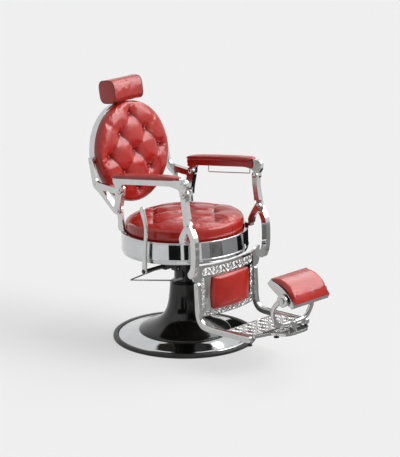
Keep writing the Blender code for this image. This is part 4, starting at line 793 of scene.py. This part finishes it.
for way in (-1, 1):
    across = way * sum(side_band) / 2
    for stroke in running_scroll(0.140, side_band[1] - side_band[0] + 0.002, 5, 0.0024, way):
        calf_strokes.append([(on_calf(across + v, CALF_CENTRE + u), r) for (u, v), r in stroke])
show("calf_scrollwork", sweep(calf_strokes, 8, 1.5, (0, -1, 0)), CASTING, "legrest", edge=60)

PLATE_LENGTH = 0.285
plate_front = -0.174
foot_half = [(0.0759, -PLATE_LENGTH, 0.050), (0.0844, plate_front - 0.030, 0.020),
             (0.1687, plate_front, 0.012), (0.1687, 0.0, 0.010)]
foot_outline = rounded([*foot_half, *((-x, y, r) for x, y, r in reversed(foot_half))])
foot = plate(foot_outline, -0.006, 0.006, FOOT_FRAME)
foot_windows = [
    window(-BAND_HALF, BAND_HALF, -0.012, -0.086, 0.008),
    window(-BAND_HALF, BAND_HALF, -0.094, -0.166, 0.008),
    [(-0.072, -0.192, 0.010), (0.072, -0.192, 0.010), (0.066, -0.236, 0.014), (-0.066, -0.236, 0.014)]]
foot = cut(foot, *(plate(rounded(w, 6), -0.02, 0.02, FOOT_FRAME) for w in foot_windows))
show("footplate_casting", softened(foot, 0.0022, 3, 40), CASTING, "legrest", "footplate")
foot_strokes = []
for row, y in enumerate((-0.0305, -0.0675, -0.112, -0.148)):
    for stroke in running_scroll(0.318, 0.038, 8, 0.0029, 1 if row % 2 else -1):
        foot_strokes.append([(FOOT_FRAME @ Vector((u, y + v, 0.0)), r) for (u, v), r in stroke])
for stroke in running_scroll(0.142, 0.046, 3, 0.0024):
    foot_strokes.append([(FOOT_FRAME @ Vector((u, -0.214 + v, 0.0)), r) for (u, v), r in stroke])
foot_scrolls = sweep(foot_strokes, 8, 1.7, FOOT_FRAME.to_3x3() @ Vector((0, 0, 1)))
show("footplate_scrollwork", foot_scrolls, CASTING, "legrest", edge=60)


# Bumpers, yoke and tray

for side, sign in SIDES:
    foot_profile = eased(((0.0, 0.0), (0.0070, 0.0), (0.0080, -0.004), (0.0120, -0.0055), (0.0120, -0.0105),
                          (0.0105, -0.012), (0.0, -0.012)), 0.001)
    low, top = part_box("rail_bumper_" + side)
    middle = (top + low) / 2
    places = {"rail": Matrix.Translation((middle.x, middle.y, top.z)),
              "nose": FOOT_FRAME @ Matrix.Translation((sign * 0.070, -0.215, -0.0063))}
    for name, place in places.items():
        show("%s_foot_%s" % (name, side), turned(foot_profile, place, 40), RUBBER, "legrest",
             "%s_bumper_%s" % (name, side), edge=50)

YOKE_PLACE = -0.245
YOKE_HUB_HEIGHT = 0.040
hub_low = 0.0063
yoke_frame = FOOT_FRAME @ Matrix.Translation((0, YOKE_PLACE, 0))
hub_top = hub_low + YOKE_HUB_HEIGHT
hub_profile = ((0.0, hub_top), (0.0176, hub_top), (0.022, hub_top - 0.008), (0.022, hub_low), (0.0, hub_low))
hub = turned(eased(hub_profile, 0.004, 5), yoke_frame, 48)
EYE_X, EYE_RADIUS, EYE_WIDTH, PIN = 0.1245, 0.028, 0.010, 0.0123
eye_y, eye_z = FLAP_PIVOT
root = yoke_frame @ Vector((0, 0, hub_top - 0.011))
sag = eye_z - root.z
half_route = [Vector((EYE_X, eye_y + EYE_RADIUS * 0.66, eye_z - EYE_RADIUS * 0.26)),
              Vector((EYE_X, root.y - 0.006, root.z + sag * 0.66)),
              Vector((EYE_X - 0.006, root.y, root.z + sag * 0.34)),
              Vector((EYE_X - 0.045, root.y, root.z + sag * 0.05))]
route = along([*half_route, root, *(v * Vector((-1, 1, 1)) for v in reversed(half_route))], 10)
pieces = [hub, sweep([[(p, 0.0107) for p in route]], 20)]
half_eye = EYE_WIDTH / 2
eye = ((PIN, -half_eye), (EYE_RADIUS, -half_eye), (EYE_RADIUS, half_eye), (PIN, half_eye))
eye = eased(eye, 0.0026, 4, True)
for side, sign in SIDES:
    place = Matrix.Translation((sign * EYE_X, *FLAP_PIVOT)) @ Matrix.Rotation(pi / 2, 4, "Y")
    pieces.append(turned(eye, place, 64, True))
show("yoke_casting", joined(*pieces), CASTING, "legrest", "yoke", edge=50)
show("tray_casting", softened(node_mesh("pad_tray"), 0.0022, 3, 30), CASTING, "foot_flap", "pad_tray")


# Leather

class Tufting:
    """Buttons on a diamond grid, and the folds that run between them and out to the rim."""

    def __init__(self, pitch, edge, depth, reach, valley, valley_reach, fold, fold_reach, cross):
        self.depth, self.reach, self.valley, self.valley_reach = depth, reach, valley, valley_reach
        self.fold, self.fold_reach = fold, fold_reach
        grid = [(i, j) for i in range(-2, 3) for j in range(-2, 3)]
        places = [(i, j) for i, j in grid if (i + j) % 2 == 0 and abs(i) + abs(j) <= 2]
        self.buttons = [Vector((i * pitch[0], j * pitch[1])) for i, j in places]
        self.folds = []
        for (i, j), button in zip(places, self.buttons):
            for di, dj, level in ((1, 1, cross), (1, -1, 1.0)):
                if (i + di, j + dj) in places:
                    other = Vector(((i + di) * pitch[0], (j + dj) * pitch[1]))
                    self.folds.append((button, other, level, False))
            if abs(i) + abs(j) == 2:
                end, level = (edge, 1.0) if (i, j) == (0, 2) else (button.length + 0.034, 0.7)
                self.folds.append((button, button.normalized() * end, level, True))

    def near(self, x, y):
        return min((Vector((x, y)) - button).length for button in self.buttons)

    def folded(self, x, y, reach):
        """How far into a fold of a given width a point lies, from 0 to 1."""
        point = Vector((x, y))
        deepest = 0.0
        for a, b, level, outer in self.folds:
            t = max(0.0, min(1.0, (point - a).dot(b - a) / (b - a).length_squared))
            gap = (point - a - (b - a) * t).length
            level *= (1 - 0.85 * t) if outer else 0.55 + 0.45 * abs(2 * t - 1) ** 1.5
            deepest = max(deepest, level * exp(-(gap / reach) ** 1.4))
        return deepest

    def press(self, x, y):
        near = self.near(x, y)
        pucker = 0.0
        if near < 0.05:
            button = min(self.buttons, key=lambda b: (b - Vector((x, y))).length)
            angle = atan2(y - button.y, x - button.x)
            pucker = 0.0010 * sin(9 * angle + 40 * button.x) * exp(-((near - 0.018) / 0.012) ** 2)
        return (self.depth * exp(-(near / self.reach) ** 1.35)
                + self.valley * self.folded(x, y, self.valley_reach)
                + self.fold * self.folded(x, y, self.fold_reach) + pucker)


def crowned(half, cells, corner, crown, flatness, skirt, tufting=None, bend=None):
    """A crowned form over a plan that is square-cornered at corner 0 and round at 1.

    flatness is a number, or a function of the place along Y from -1 to 1.
    The skirt's (height, share) loops close the form below.
    """
    bm = bmesh.new()
    bmesh.ops.create_grid(bm, x_segments=cells[0], y_segments=cells[1], size=1.0)
    for vert in bm.verts:
        t = max(abs(vert.co.x), abs(vert.co.y), 1e-5)
        a, b = vert.co.x / t, vert.co.y / t
        x = half[0] * a * sqrt(1 - corner * b * b / 2) * sin(t * pi / 2)
        y = half[1] * b * sqrt(1 - corner * a * a / 2) * sin(t * pi / 2)
        square = flatness(y / half[1]) if callable(flatness) else flatness
        height = crown * max(cos(t * pi / 2), 0.0) ** (2 / square)
        if tufting:
            height -= tufting.press(x, y) * (1 - t ** 6)
        vert.co = (x, y, height)
    rim = 1.0
    for height, share in skirt:
        made_edges = bmesh.ops.extrude_edge_only(bm, edges=[e for e in bm.edges if e.is_boundary])["geom"]
        for vert in made_edges:
            if isinstance(vert, bmesh.types.BMVert):
                vert.co = (vert.co.x * share / rim, vert.co.y * share / rim, height)
        rim = share
    bmesh.ops.edgeloop_fill(bm, edges=[e for e in bm.edges if e.is_boundary])
    if bend:
        for column in range(1, cells[0]):
            across = half[0] * (2 * column / cells[0] - 1)
            bmesh.ops.bisect_plane(bm, geom=[*bm.verts, *bm.edges, *bm.faces], dist=1e-5,
                                   plane_co=(across, 0, 0), plane_no=(1, 0, 0))
        for vert in bm.verts:
            vert.co.z += bend(vert.co.x)
    return to_mesh(bm)


def swelled(mesh, hold, pressure, cap, frames, slack):
    """A mesh swelled by a short cloth simulation.

    hold(point) is how firmly a point is held, from 0 to 1, and cap is how far a point may move.
    """
    cloth = placed("cloth", mesh)
    group = cloth.vertex_groups.new(name="held")
    before = [v.co.copy() for v in mesh.vertices]
    for i, point in enumerate(before):
        group.add([i], hold(point), "REPLACE")
    step = cloth.modifiers.new("cloth", "CLOTH")
    adjust(step.settings, {
        "quality": 6, "mass": 0.3, "tension_stiffness": 12, "compression_stiffness": 12, "shear_stiffness": 6,
        "bending_stiffness": 0.6, "use_pressure": True, "uniform_pressure_force": pressure,
        "shrink_min": -slack, "vertex_group_mass": "held"})
    step.settings.effector_weights.gravity = 0.0
    step.point_cache.frame_start = 1
    step.point_cache.frame_end = frames
    for number in range(1, frames + 1):
        scene.frame_set(number)
    graph = bpy.context.evaluated_depsgraph_get()
    after = [v.co.copy() for v in cloth.evaluated_get(graph).data.vertices]
    scene.frame_set(1)
    cloth.modifiers.clear()
    bpy.data.objects.remove(cloth)
    for vert, old, new in zip(mesh.vertices, before, after):
        shift = new - old
        if shift.length > cap:
            shift *= cap / shift.length
        vert.co = old + shift
    return mesh


def refined(mesh):
    """A mesh subdivided once, with its many-sided closing faces left out meanwhile and put back after."""
    bm = editable(mesh)
    bmesh.ops.delete(bm, geom=[f for f in bm.faces if len(f.verts) > 8], context="FACES_ONLY")
    bm = editable(shaped(to_mesh(bm), ("SUBSURF", {"levels": 1, "render_levels": 1})))
    bmesh.ops.holes_fill(bm, edges=[e for e in bm.edges if e.is_boundary], sides=0)
    return to_mesh(bm)


def paint(mesh, depth):
    """Writes each point's painted crease shade, how far it lies in a fold, which darkens it; depth is a
    number or a function.
    """
    layer = mesh.attributes.new("fold", "FLOAT", "POINT")
    layer.data.foreach_set("value", [depth(v.co) if callable(depth) else depth for v in mesh.vertices])


def upholstery(name, mesh, place, body, node, depth=0.0):
    """Shows a cushion that stands for a node; depth is its painted crease shade."""
    paint(mesh, depth)
    mesh.transform(place)
    show(name, mesh, RED, body, node, edge=80)


def trim(name, strokes, sides, depth, body):
    """Shows a seam, welt or piping of leather, with painted shade along it, as much as depth says."""
    mesh = sweep(strokes, sides)
    paint(mesh, depth)
    show(name, mesh, RED, body, edge=60)


def buttons(name, tufting, heights, place, body):
    """Covered buttons at the bottom of the tufts."""
    dome = [(0.0, 0.0042), (0.0030, 0.0040), (0.0056, 0.0031), (0.0074, 0.0014), (0.0080, -0.0004),
            (0.0074, -0.0020), (0.0, -0.0020)]
    shapes = []
    for button, height in zip(tufting.buttons, heights):
        shapes.append(turned(eased(dome, 0.001), place @ Matrix.Translation((*button, height)), 28))
    mesh = joined(*shapes)
    paint(mesh, 0.0)
    show(name, mesh, RED, body, edge=60)


def surface(mesh):
    """A mesh that rays can be cast at."""
    return BVHTree.FromPolygons([v.co for v in mesh.vertices], [p.vertices for p in mesh.polygons])


def face_heights(mesh, spots, lift):
    """Heights of a face at places in its plan."""
    tree = surface(mesh)
    return [tree.ray_cast(Vector((*spot, 1.0)), Vector((0, 0, -1)))[0].z + lift for spot in spots]


SIM_CELLS = 84
SWELL_CAP = 0.004


def tufted(name, radius, crown, flatness, skirt, tufting, place, body, node):
    """Shows a round cushion with tufts: swelled, then creased along its folds, with painted shade in the
    folds and round the buttons, and buttoned.
    """
    mesh = crowned((radius, radius), (SIM_CELLS, SIM_CELLS), 1.0, crown, flatness, skirt, tufting)

    def hold(point):
        if point.z < 0.001 or tufting.near(point.x, point.y) < 0.008:
            return 1.0
        wall = max(0.0, min(1.0, 1.5 - 2 * point.z / crown))
        return max(wall, 0.35 * tufting.folded(point.x, point.y, tufting.fold_reach))

    mesh = swelled(mesh, hold, 3.0, SWELL_CAP, 16, 0.01)
    heights = face_heights(mesh, tufting.buttons, 0.0014)
    mesh = refined(mesh)
    sharp = tufting.fold_reach * 0.5
    for vert in mesh.vertices:
        if vert.co.z > crown * 0.2:
            vert.co.z -= 0.0020 * tufting.folded(vert.co.x, vert.co.y, sharp)

    # Painted shade: fold lines and the dimples round the buttons darken towards the crease colour.
    def depth(point):
        if point.z < crown * 0.1:
            return 0.0
        line = max(0.0, tufting.folded(point.x, point.y, tufting.fold_reach * 0.65) - 0.18) / 0.60
        return min(1.0, line + 0.85 * exp(-(tufting.near(point.x, point.y) / 0.011) ** 2))

    upholstery(name, mesh, place, body, node, depth)
    buttons(name + "_buttons", tufting, heights, place, body)
    return mesh


def back_flatness(up):
    """Full at the sides and the top, slacker at the bottom, where the seat comes close at full recline."""
    return 6.8 - 3.8 * max(0.0, min(1.0, -0.4 - 2 * up))


def seat_flatness(rearward):
    """Full at the front, slacker at the rear, under the back."""
    return 4.6 - 2.0 * max(0.0, min(1.0, 0.5 + 2 * rearward))


back_tufts = Tufting(BACK_PITCH, BACK_RADIUS, depth=0.0150, reach=0.0190, valley=0.0070, valley_reach=0.0210,
                     fold=0.0040, fold_reach=0.0065, cross=0.50)
back_rim = HOOP_RADIUS + 0.0005
back_skirt = ((-0.0032, 0.998), (-0.0036, 0.960), (-0.0147, 0.955))
tufted("back_upholstery", back_rim, 0.049, back_flatness, back_skirt, back_tufts, OVAL,
       "back", "back_cushion")
seat_tufts = Tufting((SEAT_PITCH, SEAT_PITCH), SEAT_RADIUS * 0.80, depth=0.0105, reach=0.0210, valley=0.0065,
                     valley_reach=0.0260, fold=0.0045, fold_reach=0.0075, cross=0.8)
seat_place = SEAT_FRAME @ Matrix.Translation((0, 0, SEAT_PLANE))
pan_top = -0.049 + 0.0035 + FIT + 0.010
seat_wall = [((RING_TOP - SEAT_PLANE) * k / 6, 1 - 0.015 * (k / 6) ** 2) for k in range(1, 7)]
seat_skirt = (*seat_wall, (pan_top + FIT - SEAT_PLANE, 0.985))
seat_mesh = tufted("seat_upholstery", SEAT_RADIUS, 0.058, seat_flatness, seat_skirt, seat_tufts, seat_place,
                   "seat", "seat_cushion")

# Seams of the seat's side, laid on its surface
tree = surface(seat_mesh)
seams = []
for angle in (radians(-82.6), radians(97.4)):
    way = SEAT_FRAME.to_3x3() @ Vector((cos(angle), sin(angle), 0))
    points = []
    for k in range(20):
        origin = SEAT_FRAME @ Vector((0, 0, RING_TOP + 0.004 + 0.0042 * k))
        hit = tree.ray_cast(origin + way * 0.5, -way)
        if hit[0]:
            points.append((hit[0] + way * 0.0001, 0.0008))
    seams.append(points)
# The seams are darkened as painted shade along their grooves.
trim("seat_seams", seams, 6, 0.85, "seat")

panel_radius = HOOP_RADIUS - 0.014
panel = [(0.0, -0.0555), (panel_radius * 0.60, -0.0555), (panel_radius * 0.76, -0.0548),
         (panel_radius * 0.88, -0.0522), (panel_radius * 0.955, -0.0470), (panel_radius * 0.99, -0.0400),
         (panel_radius, -0.0335), (panel_radius - 0.0012, -0.0276), (0.0, -0.0276)]
panel_mesh = turned(eased(panel, 0.008, 5), OVAL, 96)
paint(panel_mesh, 0.0)
show("back_panel_cover", panel_mesh, RED, "back", "back_panel", edge=70)


def bolster(half, rings, steps, square, end_crown):
    """A block along X whose section is a rounded square, with slightly crowned ends."""
    bm = bmesh.new()
    rows = []
    ease = 0.006

    def ring(x, scale):
        row = []
        for c, s in circle(steps):
            reach = scale / (abs(c) ** square + abs(s) ** square) ** (1 / square)
            wrinkle = 0.0006 * noise.noise(Vector((x * 55, c * 0.9, s * 0.9 + 3.0))) * scale
            row.append(bm.verts.new((x, (half[1] * reach + wrinkle) * c, (half[2] * reach + wrinkle) * s)))
        return row

    for k in range(1, 7):
        rows.append(ring(-half[0] - end_crown * (1 - (k / 6.2) ** 2), k / 6.2 * 0.955))
    for k in range(rings + 1):
        x = -half[0] + 2 * half[0] * k / rings
        edge = min(x + half[0], half[0] - x)
        scale = 1.0 if edge > ease else 0.955 + 0.045 * sqrt(max(0.0, 1 - (1 - edge / ease) ** 2))
        scale *= 1 - 0.018 * (1 - (x / half[0]) ** 2)
        rows.append(ring(x, scale))
    for k in range(1, 7):
        rows.append(ring(half[0] + end_crown * (1 - ((7 - k) / 6.2) ** 2), (7 - k) / 6.2 * 0.955))
    skin(bm, rows)
    return to_mesh(bm)


HEAD_PLACE = BACK_FRAME @ Matrix.Translation(HEAD_CENTRE)
head = bolster(HEAD_HALF, 44, 72, 3.6, 0.003)
head = swelled(head, lambda p: 1.0 if abs(p.x) > 0.080 or p.z < -0.044 else 0.10, 1.5, 0.002, 12, 0.004)
upholstery("headrest_bolster", refined(head), HEAD_PLACE, "headrest", "headrest_cushion")
pipes = []
for way in (-1, 1):
    loop = []
    for k in range(97):
        c, s = cos(2 * pi * k / 96), sin(2 * pi * k / 96)
        reach = 0.985 / (abs(c) ** 3.6 + abs(s) ** 3.6) ** (1 / 3.6)
        loop.append((HEAD_PLACE @ Vector((way * (HEAD_HALF[0] - 0.0022), HEAD_HALF[1] * reach * c,
                                          HEAD_HALF[2] * reach * s)), 0.0018))
    pipes.append(loop)
# The piping is darkened as painted shade where the headrest's end meets its front.
trim("headrest_piping", pipes, 10, 0.75, "headrest")


# Arm pads and linings

pad_middle = ((ARM_REAR_TOP[0] + ARM_FRONT_TOP[0]) / 2, (ARM_REAR_TOP[1] + ARM_FRONT_TOP[1]) / 2)
pad_half = (0.028, hypot(ARM_REAR_TOP[0] - ARM_FRONT_TOP[0], ARM_REAR_TOP[1] - ARM_FRONT_TOP[1]) / 2)
lining_rear = ARM_REAR_TOP[0] - LUG / 2
lining_front = ARM_FRONT_TOP[0]
lining_corners = (
    (lining_rear, arm_top(lining_rear) - 0.002, 0.004), (lining_front, arm_top(lining_front) - 0.002, 0.008),
    (lining_front, d_z + LUG + 2 * LUG_CLEAR, 0.008), (arm_knee, arm_under(arm_knee), 0.012),
    (c_y, arm_under(c_y), 0.012), (lining_rear, arm_under(lining_rear) - LUG / 2, 0.006))
for side, sign in SIDES:
    place = (Matrix.Translation((sign * arm_middle, *pad_middle)) @ Matrix.Rotation(-arm_rise, 4, "X")
             @ Matrix.Translation((0, 0, 0.007 + FIT)))
    pad = crowned(pad_half, (14, 70), 0.30, 0.0135, 3.0, ((-0.0035, 0.985), (-0.007, 0.94)))
    pad = swelled(pad, lambda p: 1.0 if p.z < 0.003 else 0.15, 2.0, 0.003, 12, 0.002)
    upholstery("arm_rest_" + side, refined(pad), place, "arm_" + side, "arm_pad_" + side)
    edge = []
    for k in range(121):
        angle = 2 * pi * k / 120
        c, s = cos(angle), sin(angle)
        t = max(abs(c), abs(s))
        a, b = c / t, s / t
        rim_x = pad_half[0] * a * sqrt(1 - 0.15 * b * b)
        rim_y = pad_half[1] * b * sqrt(1 - 0.15 * a * a)
        edge.append((place @ Vector((rim_x, rim_y, -0.0012)), 0.0014))
    # The welt is lightly darkened as painted shade along the pad's lower edge.
    trim("arm_rest_welt_" + side, [edge], 8, 0.3, "arm_" + side)
    lining = side_plate(rounded(lining_corners), ARM_LANE[0] - FIT - 0.005, ARM_LANE[0] - FIT, sign)
    lining = softened(lining, 0.0018, 3)
    upholstery("arm_inner_" + side, lining, Matrix(), "arm_" + side, "arm_lining_" + side)


# Calf pad and foot pad

calf_place = Matrix.Translation((0, CALF_FACE - FIT - 0.006, CALF_CENTRE)) @ Matrix.Rotation(pi / 2, 4, "X")
calf_skirt = ((-0.003, 0.992), (-0.006, 0.97))
calf_pad = crowned(CALF_HALF, (40, 30), 0.22, 0.0155, 3.4, calf_skirt, None, calf_bulge)
calf_pad = swelled(calf_pad, lambda p: 1.0 if p.z - calf_bulge(p.x) < 0.004 else 0.05, 3.0, 0.004, 14, 0.003)
upholstery("calf_upholstery", refined(calf_pad), calf_place, "legrest", "calf_pad")

ARCH_CROWN = 0.035
arch = FLAP_HALF[1] ** 2 / ARCH_CROWN / 2 + ARCH_CROWN / 2
spread = atan2(FLAP_HALF[1], arch - ARCH_CROWN)


def barrel(cells, steps):
    """A pad arched along Y, with its ends rounded over and a flat underside."""
    bm = bmesh.new()
    rows = []
    for i in range(cells + 1):
        u = i / cells
        x = FLAP_HALF[0] * (2 * u - 1)
        edge = min(x + FLAP_HALF[0], FLAP_HALF[0] - x)
        drop = 0.016 * (1 - sqrt(max(0.0, 1 - max(0.0, 1 - edge / 0.020) ** 2)))
        row = []
        for k in range(steps + 1):
            angle = spread * (2 * k / steps - 1)
            y = arch * sin(angle)
            z = arch * cos(angle) - arch + ARCH_CROWN
            row.append(bm.verts.new((x, y, max(FIT, z - drop * min(1.0, z / 0.020) + FIT))))
        rows.append(row)
    for a, b in zip(rows, rows[1:]):
        for k in range(steps):
            bm.faces.new((a[k], a[k + 1], b[k + 1], b[k]))
    bmesh.ops.edgeloop_fill(bm, edges=[e for e in bm.edges if e.is_boundary])
    return to_mesh(bm)


cheek = [(y, 0.012 - 0.0185 * (y / 0.084) ** 2) for y in (0.081 - 0.163 * k / 24 for k in range(25))]
cheek += [(-0.082, -0.0255), (-0.050, -0.0300), (0.060, -0.0340), (0.0800, -0.0325), (0.0845, -0.0270)]
for side, sign in SIDES:
    low, high = sorted((sign * (FLAP_HALF[0] + 0.0004), sign * (FLAP_HALF[0] + 0.0034)))
    cheek_plate = softened(plate(cheek, low, high, FLAP_FRAME @ SIDE_VIEW), 0.001, 2)
    show("tray_cheek_" + side, cheek_plate, CASTING, "foot_flap")

foot_pad = barrel(44, 40)
foot_pad = swelled(foot_pad, lambda p: 1.0 if p.z < 0.004 or abs(p.x) > 0.104 else 0.08,
                   3.0, 0.003, 12, 0.004)
upholstery("foot_upholstery", foot_pad, FLAP_FRAME, "foot_flap", "foot_pad")
stitches = []
for way in (-1, 1):
    line = []
    for k in range(41):
        angle = spread * 0.985 * (2 * k / 40 - 1)
        y = arch * sin(angle)
        z = 0.0135 - 0.0125 * (y / 0.082) ** 2
        line.append((FLAP_FRAME @ Vector((way * (FLAP_HALF[0] - 0.0005), y, z)), 0.0016))
    stitches.append(line)
# The welts are lightly darkened as painted shade along the pad's ends.
trim("foot_pad_welt", stitches, 8, 0.3, "foot_flap")


# Finishes of the nodes that stay

STAY = {"ram": CHROME, "swivel_washer": STEEL, "pump_cylinder": STEEL, "seat_pan": BOARD,
        "lever_shaft": ENAMEL, "back_board": BOARD, "headrest_pin": STEEL}
for name, finish in STAY.items():
    node = frame["nodes"][name]
    node.data.materials.clear()
    node.data.materials.append(finish)


# Studio: a pale floor, an even sky, three broad lamps, and cards and soft lights that only gloss reflects

PALE = 0.8796
SKY = 0.25


def seen_directly(tree):
    """1 for rays from the camera and for reflected or refracted ones, 0 for scattered light."""
    paths = tree.nodes.new("ShaderNodeLightPath")
    total = paths.outputs["Is Camera Ray"]
    for other in ("Is Glossy Ray", "Is Transmission Ray"):
        larger = tree.nodes.new("ShaderNodeMath")
        larger.operation = "MAXIMUM"
        tree.links.new(total, larger.inputs[0])
        tree.links.new(paths.outputs[other], larger.inputs[1])
        total = larger.outputs[0]
    return total


def stepped(tree, value, low, high):
    step = tree.nodes.new("ShaderNodeMapRange")
    tree.links.new(value, step.inputs["Value"])
    step.inputs["To Min"].default_value = low
    step.inputs["To Max"].default_value = high
    return step.outputs["Result"]


floor_finish = Finish("floor", Specular_IOR_Level=0.0, Roughness=1.0)
paper = floor_finish.ramp(floor_finish.noise(0.8, 2), (0.3, (0.915,) * 3), (0.7, (0.922,) * 3))
seen = seen_directly(floor_finish.tree)
floor_finish.set("Base Color", floor_finish.mix(seen, (0.45, 0.45, 0.45, 1.0), paper))
glow = floor_finish.node("Emission", {"Strength": PALE})
blend = floor_finish.node("MixShader")
floor_finish.feed(blend.inputs[0], stepped(floor_finish.tree, seen, 0.0, 0.6))
floor_finish.feed(blend.inputs[1], floor_finish.shader.outputs[0])
floor_finish.feed(blend.inputs[2], glow.outputs[0])
floor_finish.feed(floor_finish.tree.nodes["Material Output"].inputs["Surface"], blend.outputs[0])
floor_bm = bmesh.new()
bmesh.ops.create_grid(floor_bm, x_segments=4, y_segments=4, size=40)
floor = placed("floor", to_mesh(floor_bm))
floor.data.materials.append(floor_finish.material)
floor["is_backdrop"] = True

world = bpy.data.worlds.new("studio")
scene.world = world
world.use_nodes = True
back = world.node_tree.nodes["Background"]
back.inputs["Color"].default_value = (1.0, 1.0, 1.0, 1.0)
strength = stepped(world.node_tree, seen_directly(world.node_tree), SKY, PALE)
world.node_tree.links.new(strength, back.inputs["Strength"])

VIEW_AZIMUTH = radians(-46)


def point(thing, way, axis):
    """Turns an object so that one of its axes lies along a direction."""
    thing.rotation_mode = "QUATERNION"
    thing.rotation_quaternion = way.to_track_quat(axis, "Y")


def lamp(name, azimuth, height, strength, spread_angle):
    """A broad lamp far away, placed by its turn from the camera to the right and its height, in degrees."""
    data = bpy.data.lights.new(name, "SUN")
    data.energy = strength
    data.angle = radians(spread_angle)
    turn_angle = VIEW_AZIMUTH + radians(azimuth)
    level = cos(radians(height))
    way = Vector((sin(turn_angle) * level, -cos(turn_angle) * level, sin(radians(height))))
    point(placed(name, data), way, "Z")


lamp("key", 82, 36, 2.45, 40)
lamp("top", 140, 50, 0.75, 40)
lamp("fill", -50, 45, 0.12, 50)

# Each card: start and end of an arc in degrees right of the camera, two (radius, height) edges, its light
RING_CARD = ((1.5, 0.0), (1.5, 0.36))
NEAR_CARD = ((0.95, 0.0), (0.95, 0.50))
CARDS = ((-60.5, -57.5, *RING_CARD, 0.01), (-26.0, -6.0, *RING_CARD, 0.01), (-1.0, 10.0, *RING_CARD, 0.01),
         (-45.0, 24.0, (1.5, 0.36), (1.5, 0.80), 0.03),
         (26.0, 96.0, *NEAR_CARD, 0.36), (96.0, 165.0, *NEAR_CARD, 0.01),
         (30.0, 110.0, (0.45, 0.001), (0.95, 0.001), 0.36),
         (-125.0, -12.0, (0.42, 0.001), (1.05, 0.001), 0.80),
         (58.0, 122.0, (2.2, 1.35), (2.2, 2.6), 5.0), (4.0, 50.0, (2.2, 0.95), (2.2, 1.8), 0.7),
         (115.0, 165.0, (2.2, 1.9), (2.2, 3.6), 5.0))
for k, (start, end, low, high, shade) in enumerate(CARDS):
    card_finish = Finish("card_%d" % k)
    tone = card_finish.ramp(card_finish.noise(3, 2), (0.3, (0.85,) * 3), (0.7, (1.0,) * 3))
    flat = card_finish.node("Emission", {"Color": tone, "Strength": shade})
    card_finish.feed(card_finish.tree.nodes["Material Output"].inputs["Surface"], flat.outputs[0])
    card_bm = bmesh.new()
    count = max(2, int((end - start) / 4))
    lower_row, upper_row = [], []
    for step in range(count + 1):
        angle = VIEW_AZIMUTH + radians(start + (end - start) * step / count)
        lower_row.append(card_bm.verts.new((low[0] * sin(angle), -low[0] * cos(angle), low[1])))
        upper_row.append(card_bm.verts.new((high[0] * sin(angle), -high[0] * cos(angle), high[1])))
    for step in range(count):
        card_bm.faces.new((lower_row[step], lower_row[step + 1], upper_row[step + 1], upper_row[step]))
    card = placed("card_%d" % k, to_mesh(card_bm))
    card.data.materials.append(card_finish.material)
    for rays in ("camera", "diffuse", "transmission", "shadow"):
        setattr(card, "visible_" + rays, False)
    card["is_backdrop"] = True


# Camera at the photograph's viewing angle

camera_data = bpy.data.cameras.new("camera")
camera_data.lens = 195.4
camera_data.sensor_width = 36
camera_data.clip_end = 100
camera = placed("camera", camera_data)
camera.location = (-7.529, -7.364, 3.538)
pitch = radians(16.1)
aim = Vector((-sin(VIEW_AZIMUTH) * cos(pitch), cos(VIEW_AZIMUTH) * cos(pitch), -sin(pitch)))
point(camera, aim, "-Z")
scene.camera = camera
scene.view_settings.view_transform = "Standard"

boxes = {"cad": cad_box, "visual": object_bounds()}
{name: [list(corner) for corner in box] for name, box in boxes.items()}
